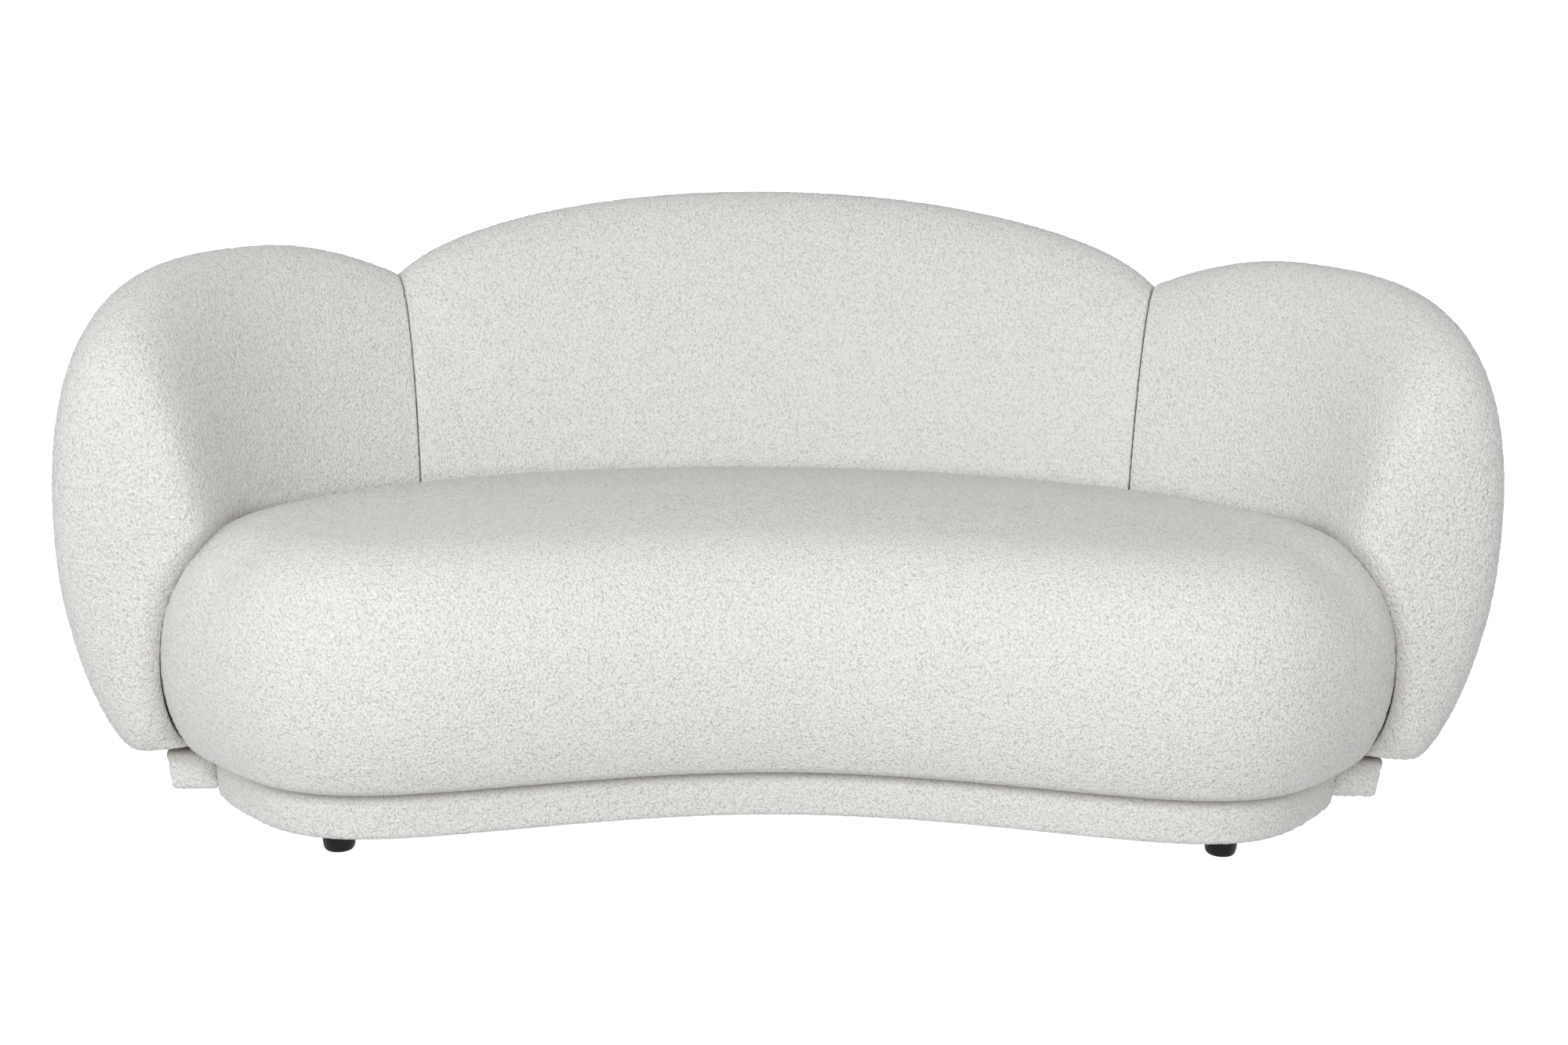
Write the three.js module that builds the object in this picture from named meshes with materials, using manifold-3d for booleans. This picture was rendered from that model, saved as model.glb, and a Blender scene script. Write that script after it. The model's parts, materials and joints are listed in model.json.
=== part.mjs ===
// A curved three-seat sofa: a kidney-shaped seat cushion on its own upholstered plinth,
// held by a wrap-around back of three lobes that stand on a second, lower plinth.
// Millimetres and degrees. X runs to the right seen from the front, -Y is the front, Z is up.
import * as THREE from 'three';
import { LoftGeometry } from 'three/addons/geometries/LoftGeometry.js';
import { mergeVertices } from 'three/addons/utils/BufferGeometryUtils.js';
import Module from 'manifold-3d';

// Fits and sheet thicknesses
const fitGap = 0.3;
const coverThickness = 4;
const dustCoverThickness = 0.8;
const cutOverrun = 5;

// Heights of the stack
const footHeight = 30;
const seatPlinthHeight = 75;
const backPlinthHeight = 62;

// Seat cushion: a kidney with a bent middle line, crowned, drawn in at the bottom and rolled at the top
const seatHalfLength = 920;
const seatHalfDepth = 350;
const seatBendRadius = 1177;
const kidneyPower = 3;
const seatTopHeight = 456;
const seatWidestHeight = 231;
const seatCrown = 35;
const seatBottomInset = 40;
const seatRollInset = 147;
const seatLowerPower = 1.8;
const seatUpperPower = 2.55;
const seatCoverLip = 60;

// Back: a middle lobe on a wide arc and two wings that turn forward on a tighter one
const backGap = 82.5;
const centerHalfAngle = 22.8;
const wingRadius = 516;
const wingAngle = 88;
const lobeHalfThickness = 110;
const wingHalfThickness = 125;
const lobeWidestHeight = 369;
const lobeLeanShare = 0.06;
const lobeTaper = 60;
const wingTaper = 56;
const lobeTaperHeight = 300;
const lobeBottomDraw = 8;
const centerTopHeight = 879;
const centerSeamHeight = 730;
const wingTopHeight = 800;
const wingSeamHeight = 741;
const wingPeakShare = 0.302;
const wingFallPower = 2.78;
const wingCrestPower = 2.2;
const wingNosePower = 9.1;
const wingToePower = 10;
const wingToeRoundPower = 2.5;
const centerArchPower = 0.6;
const sectionTopPower = 2.2;
const sectionSidePower = 3;
const sectionBottomPower = 4.5;
const taperPower = 1.6;
const seamPinchShare = 0.1;
const centerPinchPower = 6;
const wingPinchPower = 12;
const wingSwellShare = 0.7;
const taperBlendShare = 0.5;
const lobeCoverLipIn = 46;
const lobeCoverLipOut = 8;

// Plinths under the seat and under the back
const seatPlinthInset = 27;
const plinthEdge = 9;
const plinthLip = 50;
const plinthBoard = 15;
const plinthRail = 25;
const plinthRailAngle = 40;
const edgeRoundShare = 0.29;
const backPlinthInset = 22;
const backPlinthLean = 15;
const backPlinthLip = 30;
const backPlinthDepth = 170;
const backPlinthReachShare = 0.8;

// Seat frame, springs and pad
const seatFrameInset = 12;
const seatRailHeight = 180;
const seatRailThickness = 25;
const railCornerAngle = 30;
const braceThickness = 25;
const braceHeight = 90;
const braceAlong = 330;
const springCount = 7;
const springPitch = 210;
const springWire = 3.8;
const springWidth = 50;
const springWaves = 4.5;
const springLanding = 10;
const padThickness = 6;

// Back frames of plywood and timber posts
const baseThickness = 18;
const baseInner = 76;
const baseOuter = 14;
const wingBaseShare = 0.66;
const centerBaseEndGap = 1;
const postThickness = 30;
const postWidth = 34;
const postOffset = 12;
const postHeight = 400;
const panelThickness = 18;
const panelOffset = 12;
const panelBelowTop = 75;
const wingPanelShare = 0.8;

// Feet
const footTopRadius = 25;
const footBottomRadius = 22;
const footRounding = 6;
const footStudRadius = 4;
const footStudLength = 14;
const frontFootAlong = 765;
const frontFootAcross = -122;
const middleFootAcross = -20;
const rearFootOut = -85;
const sideFootShare = 0.62;
const sideFootOut = -64;

// Bolts: M8 with a hexagon head
const boltRadius = 4;
const boltHeadRadius = 7;
const boltHeadHeight = 5.5;
const boltNutHeight = 6.5;
const lowSeamBoltHeight = 230;
const highSeamBoltHeight = 430;
const baseBoltOut = -62;
const centerBaseBoltRun = 350;
const wingBaseBoltRun = 95;
const boltRecess = 4;
const seatBoltAcross = 150;
const seatBoltGrip = 45;
const joiningBoltRun = 230;
const joiningBoltHeight = 64;
const joiningBoltHeadOut = -52;
const joiningBoltReach = 124;

// Fineness of the curved surfaces
const kidneySides = 32;
const seatLowerSteps = 3;
const seatUpperSteps = 5;
const seatCrownSteps = 3;
const lobeSides = 16;
const centerStations = 11;
const wingStations = 12;
const plinthStations = 14;
const panelStations = 12;
const railSectorSteps = 12;
const springSteps = 22;
const springSides = 4;
const footSides = 12;
const boltSides = 6;

// Sizes worked out from the ones above
const seatBottom = footHeight + seatPlinthHeight + fitGap;
const lobeBottom = footHeight + backPlinthHeight + fitGap;
const innerGap = coverThickness + fitGap;
const backRadius = seatBendRadius + seatHalfDepth + backGap;
const centerRun = backRadius * THREE.MathUtils.degToRad(centerHalfAngle);
const wingRun = wingRadius * THREE.MathUtils.degToRad(wingAngle);
const railBottom = seatBottom + innerGap;
const railTop = railBottom + seatRailHeight;
const springHeight = railTop + fitGap + springWire / 2;
const padBottom = springHeight + springWire / 2 + fitGap;
const frameHalfLength = seatHalfLength - seatBottomInset - seatFrameInset;
const frameHalfDepth = seatHalfDepth - seatBottomInset - seatFrameInset;
const plinthHalfLength = seatHalfLength - seatBottomInset - seatPlinthInset;
const plinthHalfDepth = seatHalfDepth - seatBottomInset - seatPlinthInset;
const plinthTop = footHeight + seatPlinthHeight;
const baseBottom = lobeBottom + innerGap;
const baseTop = baseBottom + baseThickness;

const quarterTurn = Math.PI / 2;

// Finishes
const finishes = {
  fabric: { color: 0xd9d7d3, roughness: 0.95, metalness: 0 },
  foam: { color: 0xe9dcae, roughness: 0.9, metalness: 0 },
  felt: { color: 0x8c8a86, roughness: 0.95, metalness: 0 },
  timber: { color: 0xc79f6b, roughness: 0.7, metalness: 0 },
  plywood: { color: 0xd2b184, roughness: 0.65, metalness: 0 },
  steel: { color: 0x8f9499, roughness: 0.4, metalness: 0.9 },
  dustCloth: { color: 0x1f1f20, roughness: 0.9, metalness: 0 },
  footPlastic: { color: 0x0e0e0f, roughness: 0.45, metalness: 0 },
};

const wasm = await Module();
wasm.setup();

// Joining and cutting

function signedVolume(positions, triangles) {
  const a = new THREE.Vector3();
  const b = new THREE.Vector3();
  const c = new THREE.Vector3();
  let volume = 0;
  for (let i = 0; i < triangles.length; i += 3) {
    a.fromBufferAttribute(positions, triangles[i]);
    b.fromBufferAttribute(positions, triangles[i + 1]);
    c.fromBufferAttribute(positions, triangles[i + 2]);
    volume += a.dot(b.cross(c)) / 6;
  }
  return volume;
}

// A closed solid from a geometry: shared points merged, empty triangles dropped, faces turned outwards
function solidOf(geometry) {
  const bare = new THREE.BufferGeometry();
  bare.setAttribute('position', geometry.attributes.position);
  bare.setIndex(geometry.index);
  const merged = mergeVertices(bare);
  const triangles = [];
  for (let i = 0; i < merged.index.count; i += 3) {
    const [a, b, c] = [0, 1, 2].map((corner) => merged.index.getX(i + corner));
    if (a !== b && b !== c && c !== a) triangles.push(a, b, c);
  }
  if (signedVolume(merged.attributes.position, triangles) < 0) triangles.reverse();
  return new wasm.Manifold(new wasm.Mesh({
    numProp: 3,
    vertProperties: new Float32Array(merged.attributes.position.array),
    triVerts: new Uint32Array(triangles),
  }));
}

function geometryOf(solid) {
  const mesh = solid.getMesh();
  const geometry = new THREE.BufferGeometry();
  geometry.setAttribute('position', new THREE.BufferAttribute(mesh.vertProperties, 3));
  geometry.setIndex(new THREE.BufferAttribute(mesh.triVerts, 1));
  geometry.computeVertexNormals();
  return geometry;
}

// A loft closed at both ends by a fan to the middle of the end section
function closedLoft(sections) {
  const poleOf = (section) => {
    const middle = section.reduce((sum, point) => sum.add(point), new THREE.Vector3());
    middle.divideScalar(section.length);
    return section.map(() => middle);
  };
  return solidOf(new LoftGeometry([poleOf(sections[0]), ...sections, poleOf(sections.at(-1))]));
}

const cut = (solid, ...tools) => tools.reduce((rest, tool) => rest.subtract(tool), solid);

// Places on the seat: along its bent middle line, across it to the back, and up

function seatPoint(along, across, height) {
  const angle = along / seatBendRadius;
  const radius = seatBendRadius + across;
  return new THREE.Vector3(radius * Math.sin(angle), radius * Math.cos(angle) - seatBendRadius, height);
}

function kidneyPoint(turn, halfLength, halfDepth, height) {
  const cosine = Math.cos(turn);
  const sine = Math.sin(turn);
  const spread = Math.abs(cosine) ** kidneyPower + Math.abs(sine) ** kidneyPower;
  const reach = spread ** (-1 / kidneyPower);
  return seatPoint(halfLength * reach * cosine, halfDepth * reach * sine, height);
}

function kidneyRing(halfLength, halfDepth, height) {
  return Array.from({ length: kidneySides }, (_, index) => {
    return kidneyPoint((2 * Math.PI * index) / kidneySides, halfLength, halfDepth, height);
  });
}

function kidneyHalfDepthAt(along, halfLength, halfDepth) {
  return halfDepth * (1 - Math.abs(along / halfLength) ** kidneyPower) ** (1 / kidneyPower);
}

function kidneyPrism(halfLength, halfDepth, bottom, top) {
  const outline = kidneyRing(halfLength, halfDepth, 0).map(({ x, y }) => new THREE.Vector2(x, y));
  const geometry = new THREE.ExtrudeGeometry(new THREE.Shape(outline), {
    depth: top - bottom,
    bevelEnabled: false,
  });
  return solidOf(geometry.translate(0, 0, bottom));
}

// The seat cushion's outer form, or one that lies a little inside or outside it
function seatForm(grow) {
  const halfLength = seatHalfLength + grow;
  const halfDepth = seatHalfDepth + grow;
  const bottom = seatBottom - grow;
  const rollTop = seatTopHeight - seatCrown + grow;
  const rings = [];
  const addRing = (inset, scale, height) => {
    rings.push(kidneyRing((halfLength - inset) * scale, (halfDepth - inset) * scale, height));
  };
  const crownAt = (inset, scale) => seatCrown * (1 - (((halfDepth - inset) * scale) / halfDepth) ** 2);

  addRing(seatBottomInset, 1 / 2, bottom);
  for (let step = 0; step < seatLowerSteps; step++) {
    const turn = quarterTurn * (step / seatLowerSteps);
    const inset = seatBottomInset * (1 - Math.sin(turn) ** (2 / seatLowerPower));
    const rise = (seatWidestHeight - bottom) * Math.cos(turn) ** (2 / seatLowerPower);
    addRing(inset, 1, seatWidestHeight - rise);
  }
  for (let step = 0; step <= seatUpperSteps; step++) {
    const turn = quarterTurn * (step / seatUpperSteps);
    const inset = seatRollInset * (1 - Math.max(Math.cos(turn), 0) ** (2 / seatUpperPower));
    const rise = (rollTop - seatWidestHeight) * Math.sin(turn) ** (2 / seatUpperPower);
    addRing(inset, 1, seatWidestHeight + rise + crownAt(inset, 1));
  }
  for (let step = seatCrownSteps - 1; step > 0; step--) {
    const scale = step / seatCrownSteps;
    addRing(seatRollInset, scale, rollTop + crownAt(seatRollInset, scale));
  }
  addRing(seatRollInset, 0, rollTop + crownAt(seatRollInset, 0));
  return closedLoft(rings);
}

// Places on the back: a run along its middle line from the middle to the right, out from it, and up

function backPoint(run, out, height) {
  const side = run < 0 ? -1 : 1;
  const length = Math.abs(run);
  const wide = Math.min(length, centerRun) / backRadius;
  const heading = wide + Math.max(length - centerRun, 0) / wingRadius;
  const x = backRadius * Math.sin(wide) + wingRadius * (Math.sin(heading) - Math.sin(wide));
  const y = backRadius * Math.cos(wide) - wingRadius * (Math.cos(wide) - Math.cos(heading));
  return new THREE.Vector3(
    side * (x + out * Math.sin(heading)),
    y - seatBendRadius + out * Math.cos(heading),
    height,
  );
}

function backDirections(run) {
  const origin = backPoint(run, 0, 0);
  const outward = backPoint(run, 1, 0).sub(origin);
  const forward = new THREE.Vector3(outward.y, -outward.x, 0);
  return { outward, forward };
}

const lean = (height) => lobeLeanShare * (height - lobeWidestHeight);

// The lobes of the back. A share runs from -1 to 1 across the middle lobe and from 0 at the seam
// to 1 at the nose of a wing.

// Shares that lie closer together towards the ends, as sines of evenly spaced turns
function sineShares(count, fromTurn) {
  return Array.from({ length: count }, (_, i) => {
    return Math.sin(fromTurn + ((quarterTurn - fromTurn) * i) / (count - 1));
  });
}

const centerLobe = {
  shares: sineShares(centerStations, -quarterTurn),
  runAt: (share, grow) => share * (centerRun - fitGap / 2 + grow),
  topAt: (share) => {
    const arch = (1 - share ** 2) ** centerArchPower;
    return centerSeamHeight + (centerTopHeight - centerSeamHeight) * arch;
  },
  halfThicknessAt: (share, grow) => {
    return (lobeHalfThickness + grow) * (1 - seamPinchShare * Math.abs(share) ** centerPinchPower);
  },
  bottomRiseAt: () => 1,
  taperAt: () => lobeTaper,
};

const wingLobe = (side) => ({
  shares: sineShares(wingStations, 0),
  runAt: (share, grow) => side * (centerRun + fitGap / 2 - grow + share * (wingRun + 2 * grow)),
  topAt: (share) => {
    if (share < wingPeakShare) {
      const drop = (wingPeakShare - share) / wingPeakShare;
      return wingTopHeight - (wingTopHeight - wingSeamHeight) * drop ** 2;
    }
    const past = (share - wingPeakShare) / (1 - wingPeakShare);
    const height = wingTopHeight - lobeWidestHeight;
    return lobeWidestHeight + height * Math.max(1 - past ** wingFallPower, 0) ** (1 / wingCrestPower);
  },
  halfThicknessAt: (share, grow) => {
    const swell = (wingHalfThickness - lobeHalfThickness) * Math.min(share / wingSwellShare, 1);
    const nose = Math.sqrt(Math.max(1 - share ** wingNosePower, 0));
    const pinch = 1 - seamPinchShare * (1 - share) ** wingPinchPower;
    return (lobeHalfThickness + swell + grow) * nose * pinch;
  },
  bottomRiseAt: (share) => Math.max(1 - share ** wingToePower, 0) ** (1 / wingToeRoundPower),
  taperAt: (share) => lobeTaper + (wingTaper - lobeTaper) * Math.min(share / taperBlendShare, 1),
});

const signedPower = (value, power) => Math.sign(value) * Math.abs(value) ** power;
const zeroShare = 1e-9;
const snapped = (share) => (Math.abs(share) < zeroShare ? 0 : share);

// One upright section of a lobe: a rounded oblong that narrows and flattens towards the bottom
function lobeSection(lobe, share, grow) {
  const run = lobe.runAt(share, grow);
  const half = lobe.halfThicknessAt(share, grow);
  const height = lobe.topAt(share) - lobeWidestHeight;
  const rise = height > 0 ? height + grow : 0;
  const flat = lobeWidestHeight - (lobeWidestHeight - lobeBottom + grow) * lobe.bottomRiseAt(share);
  const drop = (lobeWidestHeight - lobeBottom + lobeBottomDraw + grow) * lobe.bottomRiseAt(share);
  return Array.from({ length: lobeSides }, (_, index) => {
    const turn = (2 * Math.PI * index) / lobeSides;
    const across = snapped(Math.cos(turn));
    const lift = snapped(Math.sin(turn));
    const above = lift >= 0;
    const level = above
      ? lobeWidestHeight + rise * lift ** (2 / sectionTopPower)
      : Math.max(lobeWidestHeight - drop * (-lift) ** (2 / sectionBottomPower), flat);
    const low = Math.min(Math.max((lobeWidestHeight - level) / lobeTaperHeight, 0), 1);
    const unit = signedPower(across, 2 / (above ? sectionTopPower : sectionSidePower));
    const taper = lobe.taperAt(share) * low ** taperPower * Math.max(unit, 0);
    return backPoint(run, half * unit - taper + lean(level), level);
  });
}

function lobeForm(lobe, grow) {
  return closedLoft(lobe.shares.map((share) => lobeSection(lobe, share, grow)));
}

// A bent block that follows the back's middle line. Its top may follow a height of its own.
function backBlock({ from, to, inner, outer, bottom, topAt, leaning = false, stations = panelStations }) {
  const shift = (height) => (leaning ? lean(height) : 0);
  const sections = Array.from({ length: stations + 1 }, (_, i) => {
    const run = from + ((to - from) * i) / stations;
    const top = topAt(run);
    return [
      backPoint(run, inner + shift(bottom), bottom),
      backPoint(run, inner + shift(top), top),
      backPoint(run, outer + shift(top), top),
      backPoint(run, outer + shift(bottom), bottom),
    ];
  });
  return closedLoft(sections);
}

// Bolts

// A bolt lies along +Y from the underside of its head, with a nut near its end where it has one
function boltProfile(length, nut, grow) {
  const shank = boltRadius + grow;
  const head = boltHeadRadius + grow;
  const headEnd = -boltHeadHeight - grow;
  const points = [[0, headEnd], [head, headEnd], [head, grow], [shank, grow]];
  const nutFace = length - boltNutHeight - grow;
  if (nut) points.push([shank, nutFace], [head, nutFace], [head, length + grow]);
  else points.push([shank, length + grow]);
  points.push([0, length + grow]);
  return points.map(([x, y]) => new THREE.Vector2(x, y));
}

function boltMatrix({ origin, direction }) {
  const turn = new THREE.Quaternion().setFromUnitVectors(new THREE.Vector3(0, 1, 0), direction);
  return new THREE.Matrix4().compose(origin, turn, new THREE.Vector3(1, 1, 1));
}

// The room that a bolt needs: the bolt a little larger, with a way in behind its head where asked
function boltRoom(bolt, wayIn = 0) {
  const profile = boltProfile(bolt.length, bolt.nut, fitGap);
  const room = solidOf(new THREE.LatheGeometry(profile, boltSides).applyMatrix4(boltMatrix(bolt)));
  if (!wayIn) return room;
  const radius = boltHeadRadius + fitGap;
  const way = new THREE.CylinderGeometry(radius, radius, wayIn, boltSides);
  way.translate(0, -boltHeadHeight - wayIn / 2, 0);
  return room.add(solidOf(way.applyMatrix4(boltMatrix(bolt))));
}

const up = new THREE.Vector3(0, 0, 1);

function seamBolt(side, height) {
  const half = fitGap / 2 + innerGap + postThickness;
  const run = side * centerRun;
  const { forward } = backDirections(run);
  const direction = forward.clone().multiplyScalar(side);
  const middle = backPoint(run, postOffset + lean(height), height);
  const origin = middle.clone().addScaledVector(direction, -half - fitGap);
  return { origin, direction, length: 2 * (half + fitGap) + boltNutHeight, nut: true };
}

function baseBolt(run) {
  const bottom = footHeight + innerGap + boltRecess + boltHeadHeight;
  const length = baseTop - bottom - fitGap;
  return { origin: backPoint(run, baseBoltOut, bottom), direction: up, length, nut: false };
}

function seatBolt(along, across) {
  const bottom = plinthTop - innerGap - plinthBoard - fitGap;
  const length = plinthBoard + seatBoltGrip;
  return { origin: seatPoint(along, across, bottom), direction: up, length, nut: false };
}

function joiningBolt(run) {
  const { outward } = backDirections(run);
  return {
    origin: backPoint(run, joiningBoltHeadOut, joiningBoltHeight),
    direction: outward.negate(),
    length: joiningBoltReach,
    nut: false,
  };
}

const seamBolts = {
  left_seam_upper_bolt: seamBolt(-1, highSeamBoltHeight),
  left_seam_lower_bolt: seamBolt(-1, lowSeamBoltHeight),
  right_seam_upper_bolt: seamBolt(1, highSeamBoltHeight),
  right_seam_lower_bolt: seamBolt(1, lowSeamBoltHeight),
};
const baseBolts = {
  center_back_left_base_bolt: baseBolt(-centerBaseBoltRun),
  center_back_right_base_bolt: baseBolt(centerBaseBoltRun),
  left_wing_base_bolt: baseBolt(-centerRun - wingBaseBoltRun),
  right_wing_base_bolt: baseBolt(centerRun + wingBaseBoltRun),
};
const seatBolts = {
  seat_front_left_bolt: seatBolt(-braceAlong, -seatBoltAcross),
  seat_front_right_bolt: seatBolt(braceAlong, -seatBoltAcross),
  seat_rear_left_bolt: seatBolt(-braceAlong, seatBoltAcross),
  seat_rear_right_bolt: seatBolt(braceAlong, seatBoltAcross),
};
const joiningBolts = {
  left_joining_bolt: joiningBolt(-joiningBoltRun),
  right_joining_bolt: joiningBolt(joiningBoltRun),
};

// Feet: a turned taper with a rounded foot edge and a threaded stud on top

const seatFeet = {
  front_left_foot: seatPoint(-frontFootAlong, frontFootAcross, 0),
  front_right_foot: seatPoint(frontFootAlong, frontFootAcross, 0),
  middle_foot: seatPoint(0, middleFootAcross, 0),
};
const backFeet = {
  rear_foot: backPoint(0, rearFootOut, 0),
  left_side_foot: backPoint(-centerRun - sideFootShare * wingRun, sideFootOut, 0),
  right_side_foot: backPoint(centerRun + sideFootShare * wingRun, sideFootOut, 0),
};

function footGeometry() {
  const top = footHeight - fitGap;
  const studTop = footHeight + coverThickness + footStudLength;
  const path = new THREE.Path();
  path.moveTo(0, 0);
  path.lineTo(footBottomRadius - footRounding, 0);
  path.quadraticCurveTo(footBottomRadius, 0, footBottomRadius, footRounding);
  path.lineTo(footTopRadius, top);
  path.lineTo(footStudRadius, top);
  path.lineTo(footStudRadius, studTop);
  path.lineTo(0, studTop);
  return new THREE.LatheGeometry(path.getPoints(2), footSides).rotateX(quarterTurn);
}

function studRoom(place) {
  const height = footHeight + coverThickness + footStudLength + fitGap;
  const radius = footStudRadius + fitGap;
  const room = new THREE.CylinderGeometry(radius, radius, height, footSides);
  return solidOf(room.rotateX(quarterTurn).translate(place.x, place.y, height / 2));
}

// Seat module

const seatDent = (grow) => seatForm(fitGap + grow);

function seatCover() {
  const opening = kidneyPrism(
    seatHalfLength - seatBottomInset - seatCoverLip,
    seatHalfDepth - seatBottomInset - seatCoverLip,
    seatBottom - cutOverrun,
    seatBottom + coverThickness + cutOverrun,
  );
  return cut(seatForm(0), seatForm(-coverThickness), opening);
}

function seatFoam() {
  const pocket = kidneyPrism(
    frameHalfLength + fitGap,
    frameHalfDepth + fitGap,
    seatBottom - cutOverrun,
    padBottom + padThickness + fitGap,
  );
  return cut(seatForm(-innerGap), pocket);
}

// One side of a curved box of rails: the part of a kidney-shaped band between two turns round it
function railSegment({ fromAngle, toAngle, halfLength, halfDepth, thickness, bottom, top }) {
  const sawCut = fitGap / halfDepth / 2;
  const from = THREE.MathUtils.degToRad(fromAngle) + sawCut;
  const to = THREE.MathUtils.degToRad(toAngle) - sawCut;
  const farPoints = Array.from({ length: railSectorSteps + 1 }, (_, i) => {
    const turn = from + ((to - from) * i) / railSectorSteps;
    const point = kidneyPoint(turn, 2 * halfLength, 2 * halfDepth, 0);
    return new THREE.Vector2(point.x, point.y);
  });
  const sector = new THREE.ExtrudeGeometry(new THREE.Shape([new THREE.Vector2(0, 0), ...farPoints]), {
    depth: top - bottom,
    bevelEnabled: false,
  });
  const inside = kidneyPrism(
    halfLength - thickness,
    halfDepth - thickness,
    bottom - cutOverrun,
    top + cutOverrun,
  );
  const band = kidneyPrism(halfLength, halfDepth, bottom, top).subtract(inside);
  return band.intersect(solidOf(sector.translate(0, 0, bottom)));
}

function seatRail(fromAngle, toAngle) {
  return railSegment({
    fromAngle,
    toAngle,
    halfLength: frameHalfLength,
    halfDepth: frameHalfDepth,
    thickness: seatRailThickness,
    bottom: railBottom,
    top: railTop,
  });
}

// A front-to-back brace, shaped to the inside of the rails
function seatBrace(side) {
  const inside = seatRailThickness + fitGap;
  const corner = (along, across, height) => seatPoint(side * braceAlong + along, across, height);
  const half = braceThickness / 2;
  const sections = [-frameHalfDepth, frameHalfDepth].map((across) => [
    corner(-half, across, railBottom),
    corner(-half, across, railBottom + braceHeight),
    corner(half, across, railBottom + braceHeight),
    corner(half, across, railBottom),
  ]);
  const bar = closedLoft(sections);
  const room = kidneyPrism(
    frameHalfLength - inside,
    frameHalfDepth - inside,
    railBottom - cutOverrun,
    railBottom + braceHeight + cutOverrun,
  );
  const bolts = Object.values(seatBolts).map((bolt) => boltRoom(bolt));
  return cut(bar.intersect(room), ...bolts);
}

// The wire of a sinuous spring: waves from side to side that die out where it lands on the rails
class SpringWire extends THREE.Curve {
  constructor(along) {
    super();
    this.along = along;
    const middle = seatRailThickness / 2;
    this.half = kidneyHalfDepthAt(along, frameHalfLength - middle, frameHalfDepth - middle);
  }

  getPoint(t, target = new THREE.Vector3()) {
    const across = (2 * t - 1) * this.half;
    const landing = Math.min((this.half - Math.abs(across)) / springLanding, 1);
    const swing = (springWidth / 2) * Math.sin(2 * Math.PI * springWaves * t) * landing;
    return target.copy(seatPoint(this.along + swing, across, springHeight));
  }
}

function springGeometry(along) {
  const section = new THREE.Shape(Array.from({ length: springSides }, (_, i) => {
    const turn = (2 * Math.PI * i) / springSides;
    return new THREE.Vector2((springWire / 2) * Math.cos(turn), (springWire / 2) * Math.sin(turn));
  }));
  return new THREE.ExtrudeGeometry(section, {
    steps: springSteps,
    extrudePath: new SpringWire(along),
  });
}

// Seat plinth

function plinthForm(grow) {
  const edge = plinthEdge + grow;
  const outline = kidneyRing(plinthHalfLength + grow, plinthHalfDepth + grow, 0);
  const shape = new THREE.Shape(outline.map(({ x, y }) => new THREE.Vector2(x, y)));
  const height = seatPlinthHeight + 2 * grow;
  const geometry = new THREE.ExtrudeGeometry(shape, {
    depth: height - 2 * edge,
    bevelThickness: edge,
    bevelSize: edge,
    bevelOffset: -edge,
    bevelSegments: 1,
  });
  return solidOf(geometry.translate(0, 0, footHeight - grow + edge));
}

function plinthOpening(inset, bottom, top) {
  return kidneyPrism(plinthHalfLength - inset, plinthHalfDepth - inset, bottom, top);
}

// The room that the seat plinth takes out of the back plinth
function seatPlinthRoom() {
  return plinthOpening(-fitGap, footHeight - cutOverrun, plinthTop + cutOverrun);
}

function seatPlinthCover() {
  const opening = plinthOpening(plinthLip, footHeight - cutOverrun, plinthTop + cutOverrun);
  const rooms = Object.values(joiningBolts).map((bolt) => boltRoom(bolt));
  const studs = Object.values(seatFeet).map(studRoom);
  return cut(plinthForm(0), plinthForm(-coverThickness), opening, ...rooms, ...studs);
}

function seatPlinthBottomBoard() {
  const bottom = footHeight + innerGap;
  const studs = Object.values(seatFeet).map(studRoom);
  return cut(plinthOpening(plinthEdge + fitGap, bottom, bottom + plinthBoard), ...studs);
}

function seatPlinthTopBoard() {
  const top = plinthTop - innerGap;
  const bolts = Object.values(seatBolts).map((bolt) => boltRoom(bolt));
  return cut(plinthOpening(plinthEdge + fitGap, top - plinthBoard, top), ...bolts);
}

function seatPlinthRail(fromAngle, toAngle) {
  const rail = railSegment({
    fromAngle,
    toAngle,
    halfLength: plinthHalfLength - innerGap,
    halfDepth: plinthHalfDepth - innerGap,
    thickness: plinthRail,
    bottom: footHeight + innerGap + plinthBoard + fitGap,
    top: plinthTop - innerGap - plinthBoard - fitGap,
  });
  return cut(rail, ...Object.values(joiningBolts).map((bolt) => boltRoom(bolt)));
}

function seatDustCover() {
  const top = footHeight + coverThickness;
  const studs = Object.values(seatFeet).map(studRoom);
  return cut(plinthOpening(plinthLip + fitGap, top - dustCoverThickness, top), ...studs);
}

// Back plinth: a band that follows the back, its outer face leaning in to the bottom

function backPlinthForm(grow) {
  const reach = centerRun + backPlinthReachShare * wingRun + grow;
  const bottom = footHeight - grow;
  const top = footHeight + backPlinthHeight + grow;
  const edge = plinthEdge + grow;
  const outer = -backPlinthInset + grow;
  const inner = -backPlinthDepth - grow;
  const sections = Array.from({ length: plinthStations + 1 }, (_, i) => {
    const run = reach * ((2 * i) / plinthStations - 1);
    return [
      backPoint(run, inner, bottom),
      backPoint(run, inner, top),
      backPoint(run, outer - edge, top),
      backPoint(run, outer - edge * edgeRoundShare, top - edge * edgeRoundShare),
      backPoint(run, outer, top - edge),
      backPoint(run, outer - backPlinthLean, bottom + edge),
      backPoint(run, outer - backPlinthLean - edge * edgeRoundShare, bottom + edge * edgeRoundShare),
      backPoint(run, outer - backPlinthLean - edge, bottom),
    ];
  });
  return closedLoft(sections);
}

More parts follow.
